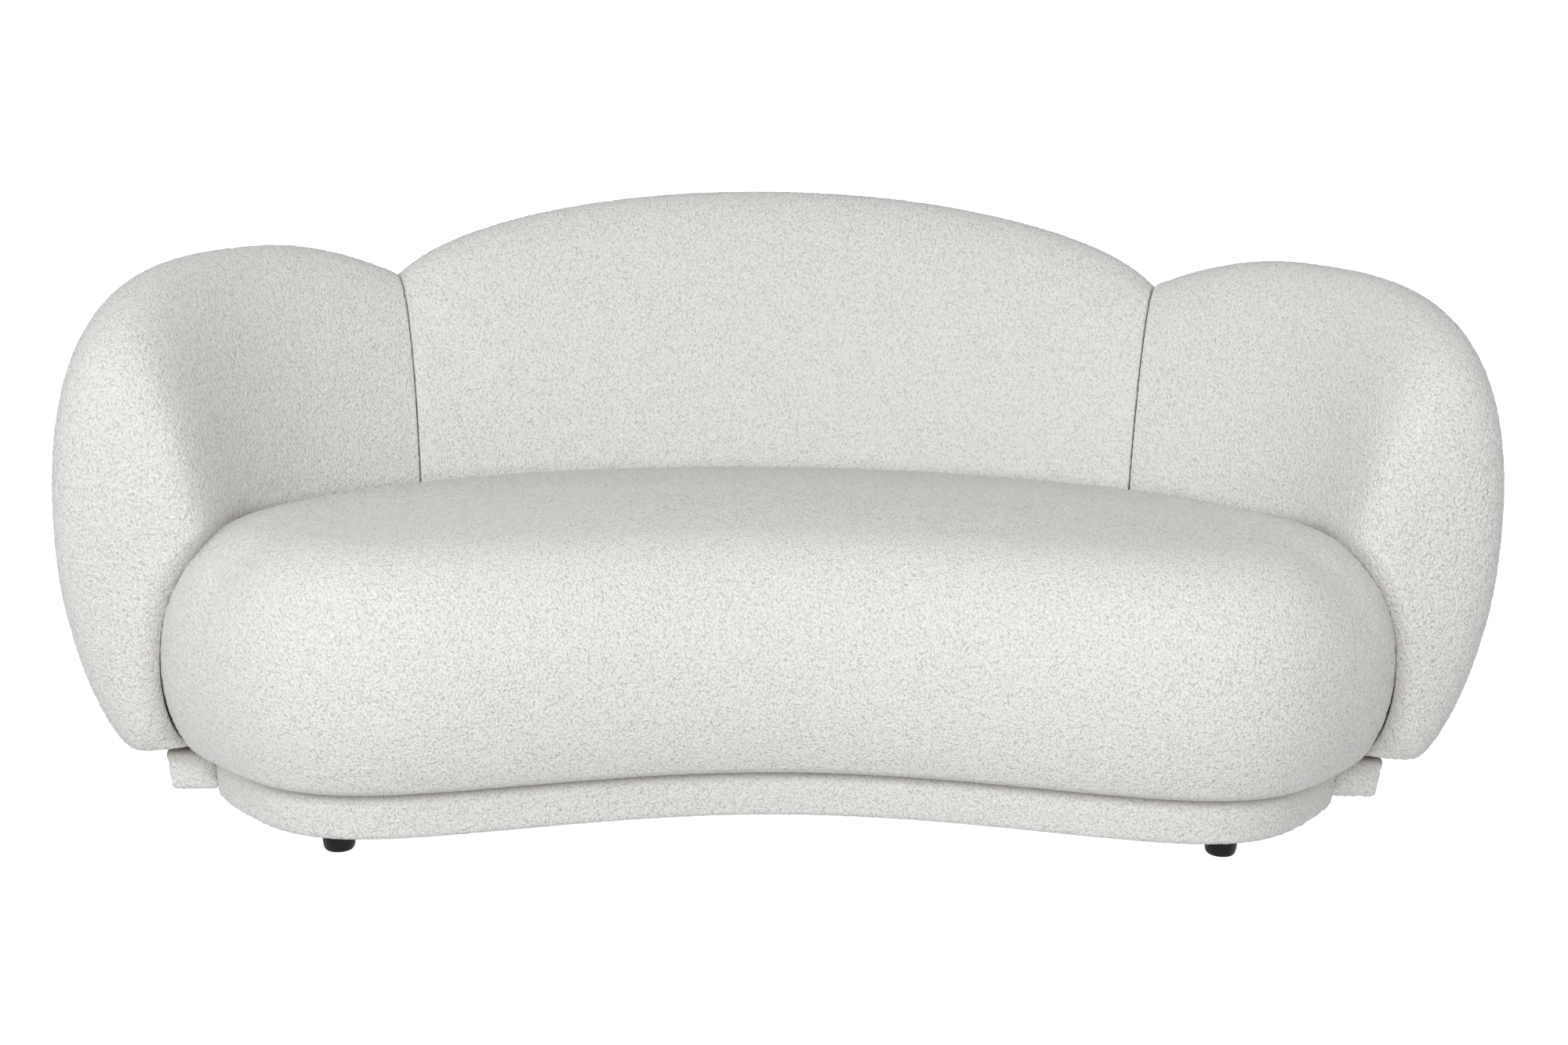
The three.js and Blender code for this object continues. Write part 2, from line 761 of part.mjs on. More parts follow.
function backPlinthCover() {
  const reach = centerRun + backPlinthReachShare * wingRun - backPlinthLip;
  const inside = backBlock({
    from: -reach,
    to: reach,
    inner: -backPlinthDepth - cutOverrun,
    outer: -backPlinthInset - backPlinthLean - backPlinthLip,
    bottom: footHeight - cutOverrun,
    topAt: () => footHeight + backPlinthHeight + cutOverrun,
    stations: plinthStations,
  });
  const studs = Object.values(backFeet).map(studRoom);
  const bolts = Object.values(baseBolts).map((bolt) => boltRoom(bolt));
  const outer = backPlinthForm(0).subtract(seatPlinthRoom());
  const inner = backPlinthForm(-coverThickness).add(inside);
  return cut(outer, inner, ...studs, ...bolts);
}

function backPlinthBeam() {
  const tools = [
    seatPlinthRoom(),
    ...Object.values(baseBolts).map((bolt) => boltRoom(bolt, footHeight)),
    ...Object.values(joiningBolts).map((bolt) => boltRoom(bolt, backPlinthDepth)),
    ...Object.values(backFeet).map(studRoom),
  ];
  return cut(backPlinthForm(-innerGap), ...tools);
}

// Back modules

function lobeCover(lobe, from, to) {
  const opening = backBlock({
    from,
    to,
    inner: -lobeCoverLipIn,
    outer: -lobeCoverLipOut,
    bottom: lobeBottom - cutOverrun,
    topAt: () => lobeBottom + coverThickness + cutOverrun,
  });
  const outer = lobeForm(lobe, 0).subtract(seatDent(0));
  const inner = lobeForm(lobe, -coverThickness).subtract(seatDent(coverThickness));
  const bolts = [...Object.values(seamBolts), ...Object.values(baseBolts)].map((bolt) => boltRoom(bolt));
  return cut(outer, inner, opening, ...bolts);
}

// The room that the seat presses out of what fills the lobes
const seatRoom = seatDent(innerGap);
const insideOf = (lobe) => lobeForm(lobe, -innerGap).subtract(seatRoom);

function lobeBase(lobe, from, to) {
  const board = backBlock({
    from,
    to,
    inner: -baseInner,
    outer: baseOuter,
    bottom: baseBottom,
    topAt: () => baseTop,
  });
  return cut(board.intersect(insideOf(lobe)), ...Object.values(baseBolts).map((bolt) => boltRoom(bolt)));
}

// The post at a seam stands on the base board and carries the seam bolts
function seamPost(from, to, grow = 0) {
  return backBlock({
    from: from - grow,
    to: to + grow,
    inner: postOffset - postWidth / 2 - grow,
    outer: postOffset + postWidth / 2 + grow,
    bottom: baseTop + fitGap - grow,
    topAt: () => baseTop + postHeight + grow,
    leaning: true,
    stations: 1,
  });
}

function lobePanel(lobe, from, to, shareAt, grow = 0) {
  return backBlock({
    from: from - grow,
    to: to + grow,
    inner: panelOffset - panelThickness / 2 - grow,
    outer: panelOffset + panelThickness / 2 + grow,
    bottom: baseTop + fitGap - grow,
    topAt: (run) => lobe.topAt(shareAt(run)) - panelBelowTop + grow,
    leaning: true,
  });
}

const seamBoltRooms = Object.values(seamBolts).map((bolt) => boltRoom(bolt));

function lobeFoam(lobe, pockets) {
  const below = backBlock({
    from: -centerRun - wingRun - cutOverrun,
    to: centerRun + wingRun + cutOverrun,
    inner: -2 * wingHalfThickness,
    outer: 2 * wingHalfThickness,
    bottom: lobeBottom - cutOverrun,
    topAt: () => baseTop + fitGap,
    stations: 2 * plinthStations,
  });
  return cut(insideOf(lobe), below, ...pockets, ...seamBoltRooms);
}

// Middle lobe
const centerEnd = centerRun - fitGap / 2 - innerGap;
const centerPanelEnd = centerEnd - postThickness - fitGap;
const centerShare = (run) => run / centerRun;

// Wings: a run is counted outwards from the seam, on the side given
const wingStart = centerRun + fitGap / 2 + innerGap;
const wingPanelStart = wingStart + postThickness + fitGap;
const wingPanelEnd = centerRun + wingPanelShare * wingRun;
const wingBaseEnd = centerRun + wingBaseShare * wingRun;
const wingShare = (run) => (Math.abs(run) - centerRun) / wingRun;

const ordered = (side, near, far) => (side > 0 ? [near, far] : [-far, -near]);

function wingParts(name, side) {
  const lobe = wingLobe(side);
  const post = ordered(side, wingStart, wingStart + postThickness);
  const postPocket = ordered(side, wingStart - cutOverrun, wingStart + postThickness);
  const panel = ordered(side, wingPanelStart, wingPanelEnd);
  const base = ordered(side, wingStart, wingBaseEnd);
  const opening = ordered(side, wingStart, wingBaseEnd - postThickness);
  return {
    [`${name}_cover`]: ['fabric', lobeCover(lobe, ...opening)],
    [`${name}_foam`]: ['foam', lobeFoam(lobe, [
      seamPost(...postPocket, fitGap),
      lobePanel(lobe, ...panel, wingShare, fitGap),
    ])],
    [`${name}_panel`]: ['plywood', cut(lobePanel(lobe, ...panel, wingShare), seatRoom, ...seamBoltRooms)],
    [`${name}_base`]: ['plywood', lobeBase(lobe, ...base)],
    [`${name}_post`]: ['timber', cut(seamPost(...post), seatRoom, ...seamBoltRooms)],
  };
}

function centerParts() {
  const pockets = [
    seamPost(-centerEnd - cutOverrun, -centerEnd + postThickness, fitGap),
    seamPost(centerEnd - postThickness, centerEnd + cutOverrun, fitGap),
    lobePanel(centerLobe, -centerPanelEnd, centerPanelEnd, centerShare, fitGap),
  ];
  const panel = lobePanel(centerLobe, -centerPanelEnd, centerPanelEnd, centerShare);
  const leftPost = seamPost(-centerEnd, -centerEnd + postThickness);
  const rightPost = seamPost(centerEnd - postThickness, centerEnd);
  const baseEnd = centerEnd - centerBaseEndGap;
  return {
    center_back_cover: ['fabric', lobeCover(centerLobe, -centerEnd, centerEnd)],
    center_back_foam: ['foam', lobeFoam(centerLobe, pockets)],
    center_back_panel: ['plywood', cut(panel, seatRoom, ...seamBoltRooms)],
    center_back_base: ['plywood', lobeBase(centerLobe, -baseEnd, baseEnd)],
    center_back_left_post: ['timber', cut(leftPost, seatRoom, ...seamBoltRooms)],
    center_back_right_post: ['timber', cut(rightPost, seatRoom, ...seamBoltRooms)],
  };
}

// The assembly

const sofa = new THREE.Group();

function addPiece(name, finish, geometry) {
  const mesh = new THREE.Mesh(geometry, new THREE.MeshStandardMaterial(finishes[finish]));
  mesh.name = name;
  sofa.add(mesh);
  return mesh;
}

const springPad = kidneyPrism(frameHalfLength, frameHalfDepth, padBottom, padBottom + padThickness);

const seatParts = {
  seat_cover: ['fabric', seatCover()],
  seat_foam: ['foam', seatFoam()],
  seat_spring_pad: ['felt', springPad],
  seat_right_rail: ['timber', seatRail(-railCornerAngle, railCornerAngle)],
  seat_rear_rail: ['timber', seatRail(railCornerAngle, 180 - railCornerAngle)],
  seat_left_rail: ['timber', seatRail(180 - railCornerAngle, 180 + railCornerAngle)],
  seat_front_rail: ['timber', seatRail(180 + railCornerAngle, 360 - railCornerAngle)],
  seat_left_brace: ['timber', seatBrace(-1)],
  seat_right_brace: ['timber', seatBrace(1)],
};

const plinthParts = {
  seat_plinth_cover: ['fabric', seatPlinthCover()],
  seat_plinth_top_board: ['plywood', seatPlinthTopBoard()],
  seat_plinth_bottom_board: ['plywood', seatPlinthBottomBoard()],
  seat_plinth_rear_rail: ['timber', seatPlinthRail(90 - plinthRailAngle, 90 + plinthRailAngle)],
  seat_plinth_front_rail: ['timber', seatPlinthRail(270 - plinthRailAngle, 270 + plinthRailAngle)],
  seat_dust_cover: ['dustCloth', seatDustCover()],
  back_plinth_cover: ['fabric', backPlinthCover()],
  back_plinth_beam: ['timber', backPlinthBeam()],
};

const solids = {
  ...seatParts,
  ...plinthParts,
  ...centerParts(),
  ...wingParts('left_wing', -1),
  ...wingParts('right_wing', 1),
};

for (const [name, [finish, solid]] of Object.entries(solids)) {
  addPiece(name, finish, geometryOf(solid));
}

for (let i = 0; i < springCount; i++) {
  const along = (i - (springCount - 1) / 2) * springPitch;
  addPiece(`seat_spring_${i + 1}`, 'steel', springGeometry(along));
}

for (const [name, place] of Object.entries({ ...seatFeet, ...backFeet })) {
  addPiece(name, 'footPlastic', footGeometry()).position.copy(place);
}

const bolts = { ...seamBolts, ...baseBolts, ...seatBolts, ...joiningBolts };

for (const [name, bolt] of Object.entries(bolts)) {
  const profile = boltProfile(bolt.length, bolt.nut, 0);
  const mesh = addPiece(name, 'steel', new THREE.LatheGeometry(profile, boltSides));
  mesh.position.copy(bolt.origin);
  mesh.quaternion.setFromUnitVectors(new THREE.Vector3(0, 1, 0), bolt.direction);
}

// The origin is on the floor under the middle of the whole sofa
const extent = new THREE.Box3().setFromObject(sofa);
const middle = extent.getCenter(new THREE.Vector3());
sofa.position.set(-middle.x, -middle.y, -extent.min.z);

export default sofa;
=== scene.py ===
import json
import math
import time

import bpy
import numpy as np
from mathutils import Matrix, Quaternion, Vector


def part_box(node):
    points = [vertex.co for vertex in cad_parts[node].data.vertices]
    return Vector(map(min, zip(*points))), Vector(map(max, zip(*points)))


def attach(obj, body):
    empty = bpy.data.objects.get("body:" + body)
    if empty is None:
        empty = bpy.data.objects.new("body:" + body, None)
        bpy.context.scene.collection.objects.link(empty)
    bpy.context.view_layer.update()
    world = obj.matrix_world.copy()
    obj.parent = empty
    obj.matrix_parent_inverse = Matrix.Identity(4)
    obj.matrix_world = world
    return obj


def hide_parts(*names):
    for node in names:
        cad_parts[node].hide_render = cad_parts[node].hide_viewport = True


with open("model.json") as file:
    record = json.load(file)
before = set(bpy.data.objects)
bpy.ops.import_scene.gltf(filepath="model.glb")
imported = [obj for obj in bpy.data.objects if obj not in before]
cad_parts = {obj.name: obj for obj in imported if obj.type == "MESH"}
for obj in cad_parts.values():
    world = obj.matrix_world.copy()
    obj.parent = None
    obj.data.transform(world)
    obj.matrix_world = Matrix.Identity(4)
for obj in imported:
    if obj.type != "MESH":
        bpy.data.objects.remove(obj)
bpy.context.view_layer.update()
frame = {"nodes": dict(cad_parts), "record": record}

# A curved sofa in an off-white looped fabric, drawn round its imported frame.
# Metres. X runs to the right seen from the front, -Y is the front and Z is up.

startTime = time.perf_counter()
print("frame loaded with", len(frame["nodes"]), "nodes")


def stage(words):
    print(f"{time.perf_counter() - startTime:6.1f} s  {words}")


# Camera: a normal lens above the height of the back, looking down at the seat

camera = {
    "lens": 48.6,
    "sensor": 36.0,
    "place": (-0.1195, -3.246, 1.2),
    "aim": (0.0075, 0.0317, 0.385),
    "rollDegrees": 1.18,
}


def addAimed(name, data, place, aim, rollDegrees=0.0):
    # A camera or a lamp at its place, turned so that its -Z points at the aim
    made = bpy.data.objects.new(name, data)
    made.location = place
    made.rotation_mode = "QUATERNION"
    heading = (Vector(aim) - Vector(place)).to_track_quat("-Z", "Y")
    made.rotation_quaternion = heading @ Quaternion((0, 0, 1), math.radians(rollDegrees))
    bpy.context.scene.collection.objects.link(made)
    return made


def makeCamera():
    data = bpy.data.cameras.new("camera")
    data.lens = camera["lens"]
    data.sensor_width = camera["sensor"]
    made = addAimed("camera", data, camera["place"], camera["aim"], camera["rollDegrees"])
    bpy.context.scene.camera = made


makeCamera()

# Mesh helpers

mesh = {
    "step": 0.0036,         # spacing of the points of the fabric
    "coarseTimes": 4.5,     # how much wider the points lie while the fabric swells
    "samples": 4001,        # points of a curve that is measured before it is divided evenly
    "longSamples": 20001,
    "arcPoints": 24,        # points of each rounded corner of a plinth
}
tiny = 1e-9                 # keeps zero out of a division


def lengthAlong(*axes):
    # Running length of a line given by its coordinates: the sum of its steps
    steps = np.sqrt(sum(np.diff(axis) ** 2 for axis in axes))
    return np.concatenate([[0.0], np.cumsum(steps)])


def evenValues(values, length, count):
    # Values at count + 1 places that lie evenly along a running length
    return np.interp(np.linspace(0.0, length[-1], count + 1), length, values)


def evenLine(step, *axes):
    # The coordinates of a line again, at places that lie about a step apart along it
    length = lengthAlong(*axes)
    count = int(length[-1] / step)
    return [evenValues(axis, length, count) for axis in axes]


def outwards(points, quads, triangles):
    # Turns all faces round where the volume that they enclose comes out negative
    quads = np.asarray(quads, np.int32).reshape(-1, 4)
    triangles = np.asarray(triangles, np.int32).reshape(-1, 3)
    corners = np.concatenate([quads[:, [0, 1, 2]], quads[:, [0, 2, 3]], triangles])
    a, b, c = (points[corners[:, i]] for i in range(3))
    if np.einsum("ij,ij->i", a, np.cross(b, c)).sum() < 0:
        return quads[:, ::-1], triangles[:, ::-1]
    return quads, triangles


def newObject(name, points, quads, triangles=()):
    # A mesh object from a point array and arrays of four and three corners, with its faces outwards
    quads, triangles = outwards(points, quads, triangles)
    corners = np.concatenate([quads.ravel(), triangles.ravel()])
    starts = np.concatenate([
        np.arange(len(quads)) * 4,
        len(quads) * 4 + np.arange(len(triangles)) * 3,
    ])
    data = bpy.data.meshes.new(name)
    data.vertices.add(len(points))
    data.vertices.foreach_set("co", np.asarray(points, np.float32).ravel())
    data.loops.add(len(corners))
    data.loops.foreach_set("vertex_index", corners)
    data.polygons.add(len(starts))
    data.polygons.foreach_set("loop_start", starts.astype(np.int32))
    data.update(calc_edges=True)
    data.shade_smooth()
    made = bpy.data.objects.new(name, data)
    bpy.context.scene.collection.objects.link(made)
    return made


def readVectors(items, name):
    # One row of three numbers for each of a mesh's points
    found = np.zeros(len(items) * 3, np.float32)
    items.foreach_get(name, found)
    return found.reshape(-1, 3)


def tubeFaces(rows, columns):
    # Quads between the rows of a tube whose columns close on themselves
    row = np.arange(rows - 1)[:, None] * columns
    here = np.arange(columns)[None, :]
    after = (here + 1) % columns
    quads = np.stack([row + here, row + after, row + columns + after, row + columns + here], axis=-1)
    return quads.reshape(-1, 4)


def fanFaces(first, columns, pole, flip=False):
    # Triangles from one row of a tube to a pole
    here = first + np.arange(columns)
    after = first + (np.arange(columns) + 1) % columns
    fan = np.stack([here, after, np.full(columns, pole)], axis=-1)
    return fan[:, ::-1] if flip else fan


def closedTube(rows):
    # Points, quads and triangles of a tube of closed rows, whose two ends close in poles
    count, columns = rows.shape[:2]
    points = np.concatenate([rows.reshape(-1, 3), rows[:1].mean(axis=1), rows[-1:].mean(axis=1)])
    triangles = np.concatenate([
        fanFaces(0, columns, count * columns, flip=True),
        fanFaces((count - 1) * columns, columns, count * columns + 1),
    ])
    return points, tubeFaces(count, columns), triangles


def roundedLine(corners, radius, arcPoints):
    # A line through corners whose inner corners are replaced by quadratic curves of that radius
    corners = np.asarray(corners, float)
    line = [corners[:1]]
    t = np.linspace(0, 1, arcPoints)[:, None]
    for before, here, after in zip(corners[:-2], corners[1:-1], corners[2:]):
        reachIn = min(radius, np.linalg.norm(before - here) / 2)
        reachOut = min(radius, np.linalg.norm(after - here) / 2)
        start = here + (before - here) / np.linalg.norm(before - here) * reachIn
        end = here + (after - here) / np.linalg.norm(after - here) * reachOut
        line.append((1 - t) ** 2 * start + 2 * t * (1 - t) * here + t ** 2 * end)
    line.append(corners[-1:])
    return np.concatenate(line)


def spread(coarse, rowShares, columnShares, wrap):
    # Bilinear reading of a coarse grid of moves at shares 0 to 1 of its rows and columns
    rows, columns = coarse.shape[:2]
    row = np.asarray(rowShares) * (rows - 1)
    column = np.asarray(columnShares) * (columns if wrap else columns - 1)
    r0 = np.clip(np.floor(row).astype(int), 0, rows - 2)
    c0 = np.floor(column).astype(int)
    c0 = c0 % columns if wrap else np.clip(c0, 0, columns - 2)
    c1 = (c0 + 1) % columns
    up = (row - r0)[:, None]
    on = (column - np.floor(column) if wrap else column - c0)[:, None]
    low = coarse[r0, c0] * (1 - on) + coarse[r0, c1] * on
    high = coarse[r0 + 1, c0] * (1 - on) + coarse[r0 + 1, c1] * on
    return low * (1 - up) + high * up


def fineMoves(coarse, moves, fine):
    # The coarse grid's moves read at the fine grid's points: on its rows, on its top patch where it has
    # one, and none at the rest
    rows, columns = fine["shape"]
    row, column = np.divmod(np.arange(rows * columns), columns)
    onRows = moves[:coarse["shape"][0] * coarse["shape"][1]].reshape(*coarse["shape"], 3)
    found = [spread(onRows, row / (rows - 1), column / columns, True)]
    if "inner" in fine:
        i, j = np.nonzero(fine["inner"])
        rows, columns = fine["inner"].shape
        found.append(spread(moves[coarse["index"]], i / (rows - 1), j / (columns - 1), False))
    found.append(np.zeros((len(fine["points"]) - sum(len(part) for part in found), 3)))
    return np.concatenate(found)


# The seat cushion and its plinth share a kidney-shaped plan: a superellipse bent onto an arc

seat = {
    "halfLength": 0.920,
    "halfDepth": 0.350,
    "bendRadius": 1.177,
    "outlinePower": 3.0,
    "bottom": 0.1053,
    "widest": 0.231,
    "top": 0.456,
    "crown": 0.035,
    "bottomInset": 0.040,
    "rollInset": 0.147,
    "lowerPower": 1.8,
    "upperPower": 2.55,
    "underLedge": 0.060,
    "bottomRound": 0.010,
    "profileSamples": 600,
    "roundSamples": 40,
    "seamHeight": 0.004,    # height of the painted shade along the bottom edge, where the seat sits on its plinth
    "endShare": 0.095,      # share of the outline that the short side of the top patch takes
    "fill": 0.9,
}
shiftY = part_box("seat_cover")[1].y - seat["halfDepth"]


def seatPlace(along, across):
    # Bends the straight middle line: the angle is along / bend radius, the radius grows with across
    angle = along / seat["bendRadius"]
    radius = seat["bendRadius"] + across
    return radius * np.sin(angle), radius * np.cos(angle) - seat["bendRadius"] + shiftY


def seatCoordinates(x, y):
    # The inverse of seatPlace
    radius = np.hypot(x, y - shiftY + seat["bendRadius"])
    angle = np.arctan2(x, y - shiftY + seat["bendRadius"])
    return angle * seat["bendRadius"], radius - seat["bendRadius"]


def kidneyOutline(turn, halfLength, halfDepth):
    # Polar superellipse: reach = (|cos|^p + |sin|^p)^(-1/p), then bent
    cosine, sine = np.cos(turn), np.sin(turn)
    power = seat["outlinePower"]
    reach = (np.abs(cosine) ** power + np.abs(sine) ** power) ** (-1 / power)
    return seatPlace(halfLength * reach * cosine, halfDepth * reach * sine)


def outlineLength(body):
    # The way once round the outline
    turn = np.linspace(0, 2 * math.pi, mesh["samples"])
    return lengthAlong(*kidneyOutline(turn, body["halfLength"], body["halfDepth"]))[-1]


def evenTurns(count, body):
    # Turns round the outline whose points lie evenly along it
    fine = np.linspace(0, 2 * math.pi, mesh["longSamples"])
    outline = kidneyOutline(fine, body["halfLength"], body["halfDepth"])
    return evenValues(fine, lengthAlong(*outline), count)


def kidneyRows(turns, insets, heights, body):
    # One closed row of points for each inset and height
    lengths, depths = body["halfLength"] - insets, body["halfDepth"] - insets
    x, y = kidneyOutline(turns, lengths[:, None], depths[:, None])
    return np.stack([x, y, np.broadcast_to(heights[:, None], x.shape)], axis=-1)


def kidneyGauge(along, across, length, depth):
    # gauge = (|along / length|^p + |across / depth|^p)^(1/p), which is 1 on the outline, and how fast it
    # grows along and across
    power = seat["outlinePower"]
    lengthways, crossways = np.abs(along) / length, np.abs(across) / depth
    gauge = (lengthways ** power + crossways ** power) ** (1 / power)
    slopeAlong = np.sign(along) * lengthways ** (power - 1) / length * gauge ** (1 - power)
    slopeAcross = np.sign(across) * crossways ** (power - 1) / depth * gauge ** (1 - power)
    return gauge, slopeAlong, slopeAcross


def seatCrown(inset, scale=1.0):
    # The rise of the top: a parabola across the depth, crown (1 - (distance / half depth)^2)
    return seat["crown"] * (1 - ((seat["halfDepth"] - inset) * scale / seat["halfDepth"]) ** 2)


def seatProfile():
    # The seat's side from its bottom edge to the roll: two quarter superellipses, one inset as it goes
    # down and one as it goes up, with the crown's rise added to the upper one. The bottom edge is
    # rounded by a quadratic curve.
    turn = np.linspace(0, math.pi / 2, seat["profileSamples"])
    sine, cosine = np.sin(turn), np.maximum(np.cos(turn), 0)
    lowInset = seat["bottomInset"] * (1 - sine ** (2 / seat["lowerPower"]))
    lowHeight = seat["widest"] - (seat["widest"] - seat["bottom"]) * cosine ** (2 / seat["lowerPower"])
    highInset = seat["rollInset"] * (1 - cosine ** (2 / seat["upperPower"]))
    rise = (seat["top"] - seat["crown"] - seat["widest"]) * sine ** (2 / seat["upperPower"])
    highHeight = seat["widest"] + rise + seatCrown(highInset)
    reach = seat["bottomRound"]
    first = int(np.searchsorted(lowHeight, seat["bottom"] + reach))
    t = np.linspace(0, 1, seat["roundSamples"])
    ends = (seat["bottomInset"] + reach, seat["bottom"]), (lowInset[first], lowHeight[first])
    edge = [
        (1 - t) ** 2 * ends[0][axis] + 2 * t * (1 - t) * corner + t ** 2 * ends[1][axis]
        for axis, corner in enumerate((seat["bottomInset"], seat["bottom"]))
    ]
    return (
        np.concatenate([edge[0][:-1], lowInset[first:], highInset[1:]]),
        np.concatenate([edge[1][:-1], lowHeight[first:], highHeight[1:]]),
    )


def seatGrid(step):
    # Rows round the side, a squared patch on top that meets the last row, and a ledge below
    rowInset, rowHeight = evenLine(step, *seatProfile())
    rows = len(rowInset) - 1
    around = outlineLength(seat)
    m = 2 * round(around * seat["endShare"] / step / 2)
    n = 2 * round((around / step - 2 * m) / 4)
    columns = 2 * (n + m)
    turns = evenTurns(columns, seat)
    side = kidneyRows(turns[:-1], rowInset, rowHeight, seat)

    i, j = np.meshgrid(np.arange(n + 1), np.arange(m + 1), indexing="ij")
    s, t = 2 * i / n - 1, 2 * j / m - 1
    scale = np.maximum(np.abs(s), np.abs(t))
    safe = np.maximum(scale, tiny)
    edgeI, edgeJ = (s / safe + 1) / 2 * n, (t / safe + 1) / 2 * m
    border = np.where(
        np.abs(s) >= np.abs(t),
        np.where(s > 0, edgeJ - m / 2, m / 2 + n + (m - edgeJ)),
        np.where(t > 0, m / 2 + (n - edgeI), m / 2 + n + m + edgeI),
    ) % columns
    turn = np.interp(border, np.arange(columns + 1), turns)
    inset = seat["rollInset"]
    x, y = kidneyOutline(turn, (seat["halfLength"] - inset) * scale, (seat["halfDepth"] - inset) * scale)
    z = seat["top"] - seat["crown"] + seatCrown(inset, scale)
    patch = np.stack([x, y, z], axis=-1)

    inner = np.ones((n + 1, m + 1), bool)
    inner[[0, -1], :] = False
    inner[:, [0, -1]] = False
    sideCount = side.shape[0] * columns
    index = np.zeros((n + 1, m + 1), np.int64)
    index[inner] = sideCount + np.arange(inner.sum())
    index[~inner] = rows * columns + np.round(border[~inner]).astype(int) % columns

    ledgeInset = np.array([seat["bottomInset"] + seat["underLedge"]])
    ledge = kidneyRows(turns[:-1], ledgeInset, np.array([seat["bottom"]]), seat)
    ledgeStart = sideCount + inner.sum()
    pole = ledgeStart + columns
    here = np.arange(columns)
    after = (here + 1) % columns
    quads = np.concatenate([
        tubeFaces(rows + 1, columns),
        np.stack([index[:-1, :-1], index[1:, :-1], index[1:, 1:], index[:-1, 1:]], axis=-1).reshape(-1, 4),
        np.stack([ledgeStart + here, ledgeStart + after, after, here], axis=-1),
    ])
    return {
        "points": np.concatenate([side.reshape(-1, 3), patch[inner], ledge[0], ledge.mean(axis=1)]),
        "quads": quads,
        "triangles": fanFaces(ledgeStart, columns, pole, flip=True),
        "shape": (rows + 1, columns),
        "inner": inner,
        "index": index,
        "pinned": np.concatenate([here, np.arange(ledgeStart, pole + 1)]),
    }


# The back: a middle lobe on a wide arc and two wings on a tighter one

back = {
    "gap": 0.0825,
    "centerHalfAngle": math.radians(22.8),
    "wingRadius": 0.516,
    "wingAngle": math.radians(88),
    "centerHalfThickness": 0.110,
    "wingHalfThickness": 0.125,
    "widest": 0.369,
    "bottom": 0.0923,
    "leanShare": 0.06,
    "centerTaper": 0.060,
    "wingTaper": 0.056,
    "taperHeight": 0.300,
    "taperPower": 1.6,
    "bottomDraw": 0.012,
    "bottomRound": 0.014,
    "centerTop": 0.879,
    "centerSeam": 0.730,
    "centerArchPower": 0.6,
    "wingTop": 0.800,
    "wingSeam": 0.741,
    "wingPeak": 0.302,
    "wingFallPower": 2.78,
    "wingCrestPower": 2.2,
    "wingNosePower": 9.1,
    "wingToePower": 18,
    "wingToeRoundPower": 2.2,
    "topPower": 2.2,
    "sidePower": 3.0,
    "bottomPower": 4.5,
    "seamPinch": 0.1,
    "centerPinchPower": 6,
    "wingPinchPower": 12,
    "swellShare": 0.7,
    "blendShare": 0.5,
    "noseStart": -0.18,     # where the wings' fronts begin to be drawn back
    "noseReach": 0.145,     # how far they reach past it, away from the seat and beside it
    "noseReachNear": 0.075,
    "noseEase": 0.09,       # distance from the seat over which the one becomes the other
    "seamGap": 0.0004,      # half the gap between two lobes
    # the width of the painted shade in each seam
    "seamShade": 0.0016,
    "seamRound": 0.0042,    # rounding of the fabric where it turns into a seam
    "seamReachTimes": 2.0,  # how many roundings from a seam the rows lie closer
    "seamCloser": 3.0,      # how much closer they lie there
    "seamNubShare": 0.55,
    "fill": 0.9,
}
back["radius"] = seat["bendRadius"] + seat["halfDepth"] + back["gap"]
back["centerRun"] = back["radius"] * back["centerHalfAngle"]
back["wingRun"] = back["wingRadius"] * back["wingAngle"]


def backHeadings(run):
    # The side, the heading where the wide arc is left, and the heading at the run itself
    length = np.abs(run)
    wide = np.minimum(length, back["centerRun"]) / back["radius"]
    heading = wide + np.maximum(length - back["centerRun"], 0) / back["wingRadius"]
    return np.where(run < 0, -1.0, 1.0), wide, heading


def backPlace(run, out):
    # A run along the middle line, first on the wide arc and then on the tight one, and out from it
    side, wide, heading = backHeadings(run)
    x = back["radius"] * np.sin(wide) + back["wingRadius"] * (np.sin(heading) - np.sin(wide))
    y = back["radius"] * np.cos(wide) - back["wingRadius"] * (np.cos(wide) - np.cos(heading))
    return side * (x + out * np.sin(heading)), y - seat["bendRadius"] + out * np.cos(heading) + shiftY


def backWays(run):
    # The way out from the middle line
    side, wide, heading = backHeadings(run)
    return np.stack([side * np.sin(heading), np.cos(heading)], axis=-1)


def centerShape(share):
    # Run, half thickness, top, bottom rise and taper of the middle lobe at shares -1 to 1
    pinch = 1 - back["seamPinch"] * np.abs(share) ** back["centerPinchPower"]
    arch = np.maximum(1 - share ** 2, 0) ** back["centerArchPower"]
    return {
        "run": share * (back["centerRun"] - back["seamGap"]),
        "half": back["centerHalfThickness"] * pinch,
        "top": back["centerSeam"] + (back["centerTop"] - back["centerSeam"]) * arch,
        "bottomRise": np.ones_like(share),
        "taper": np.full_like(share, back["centerTaper"]),
    }


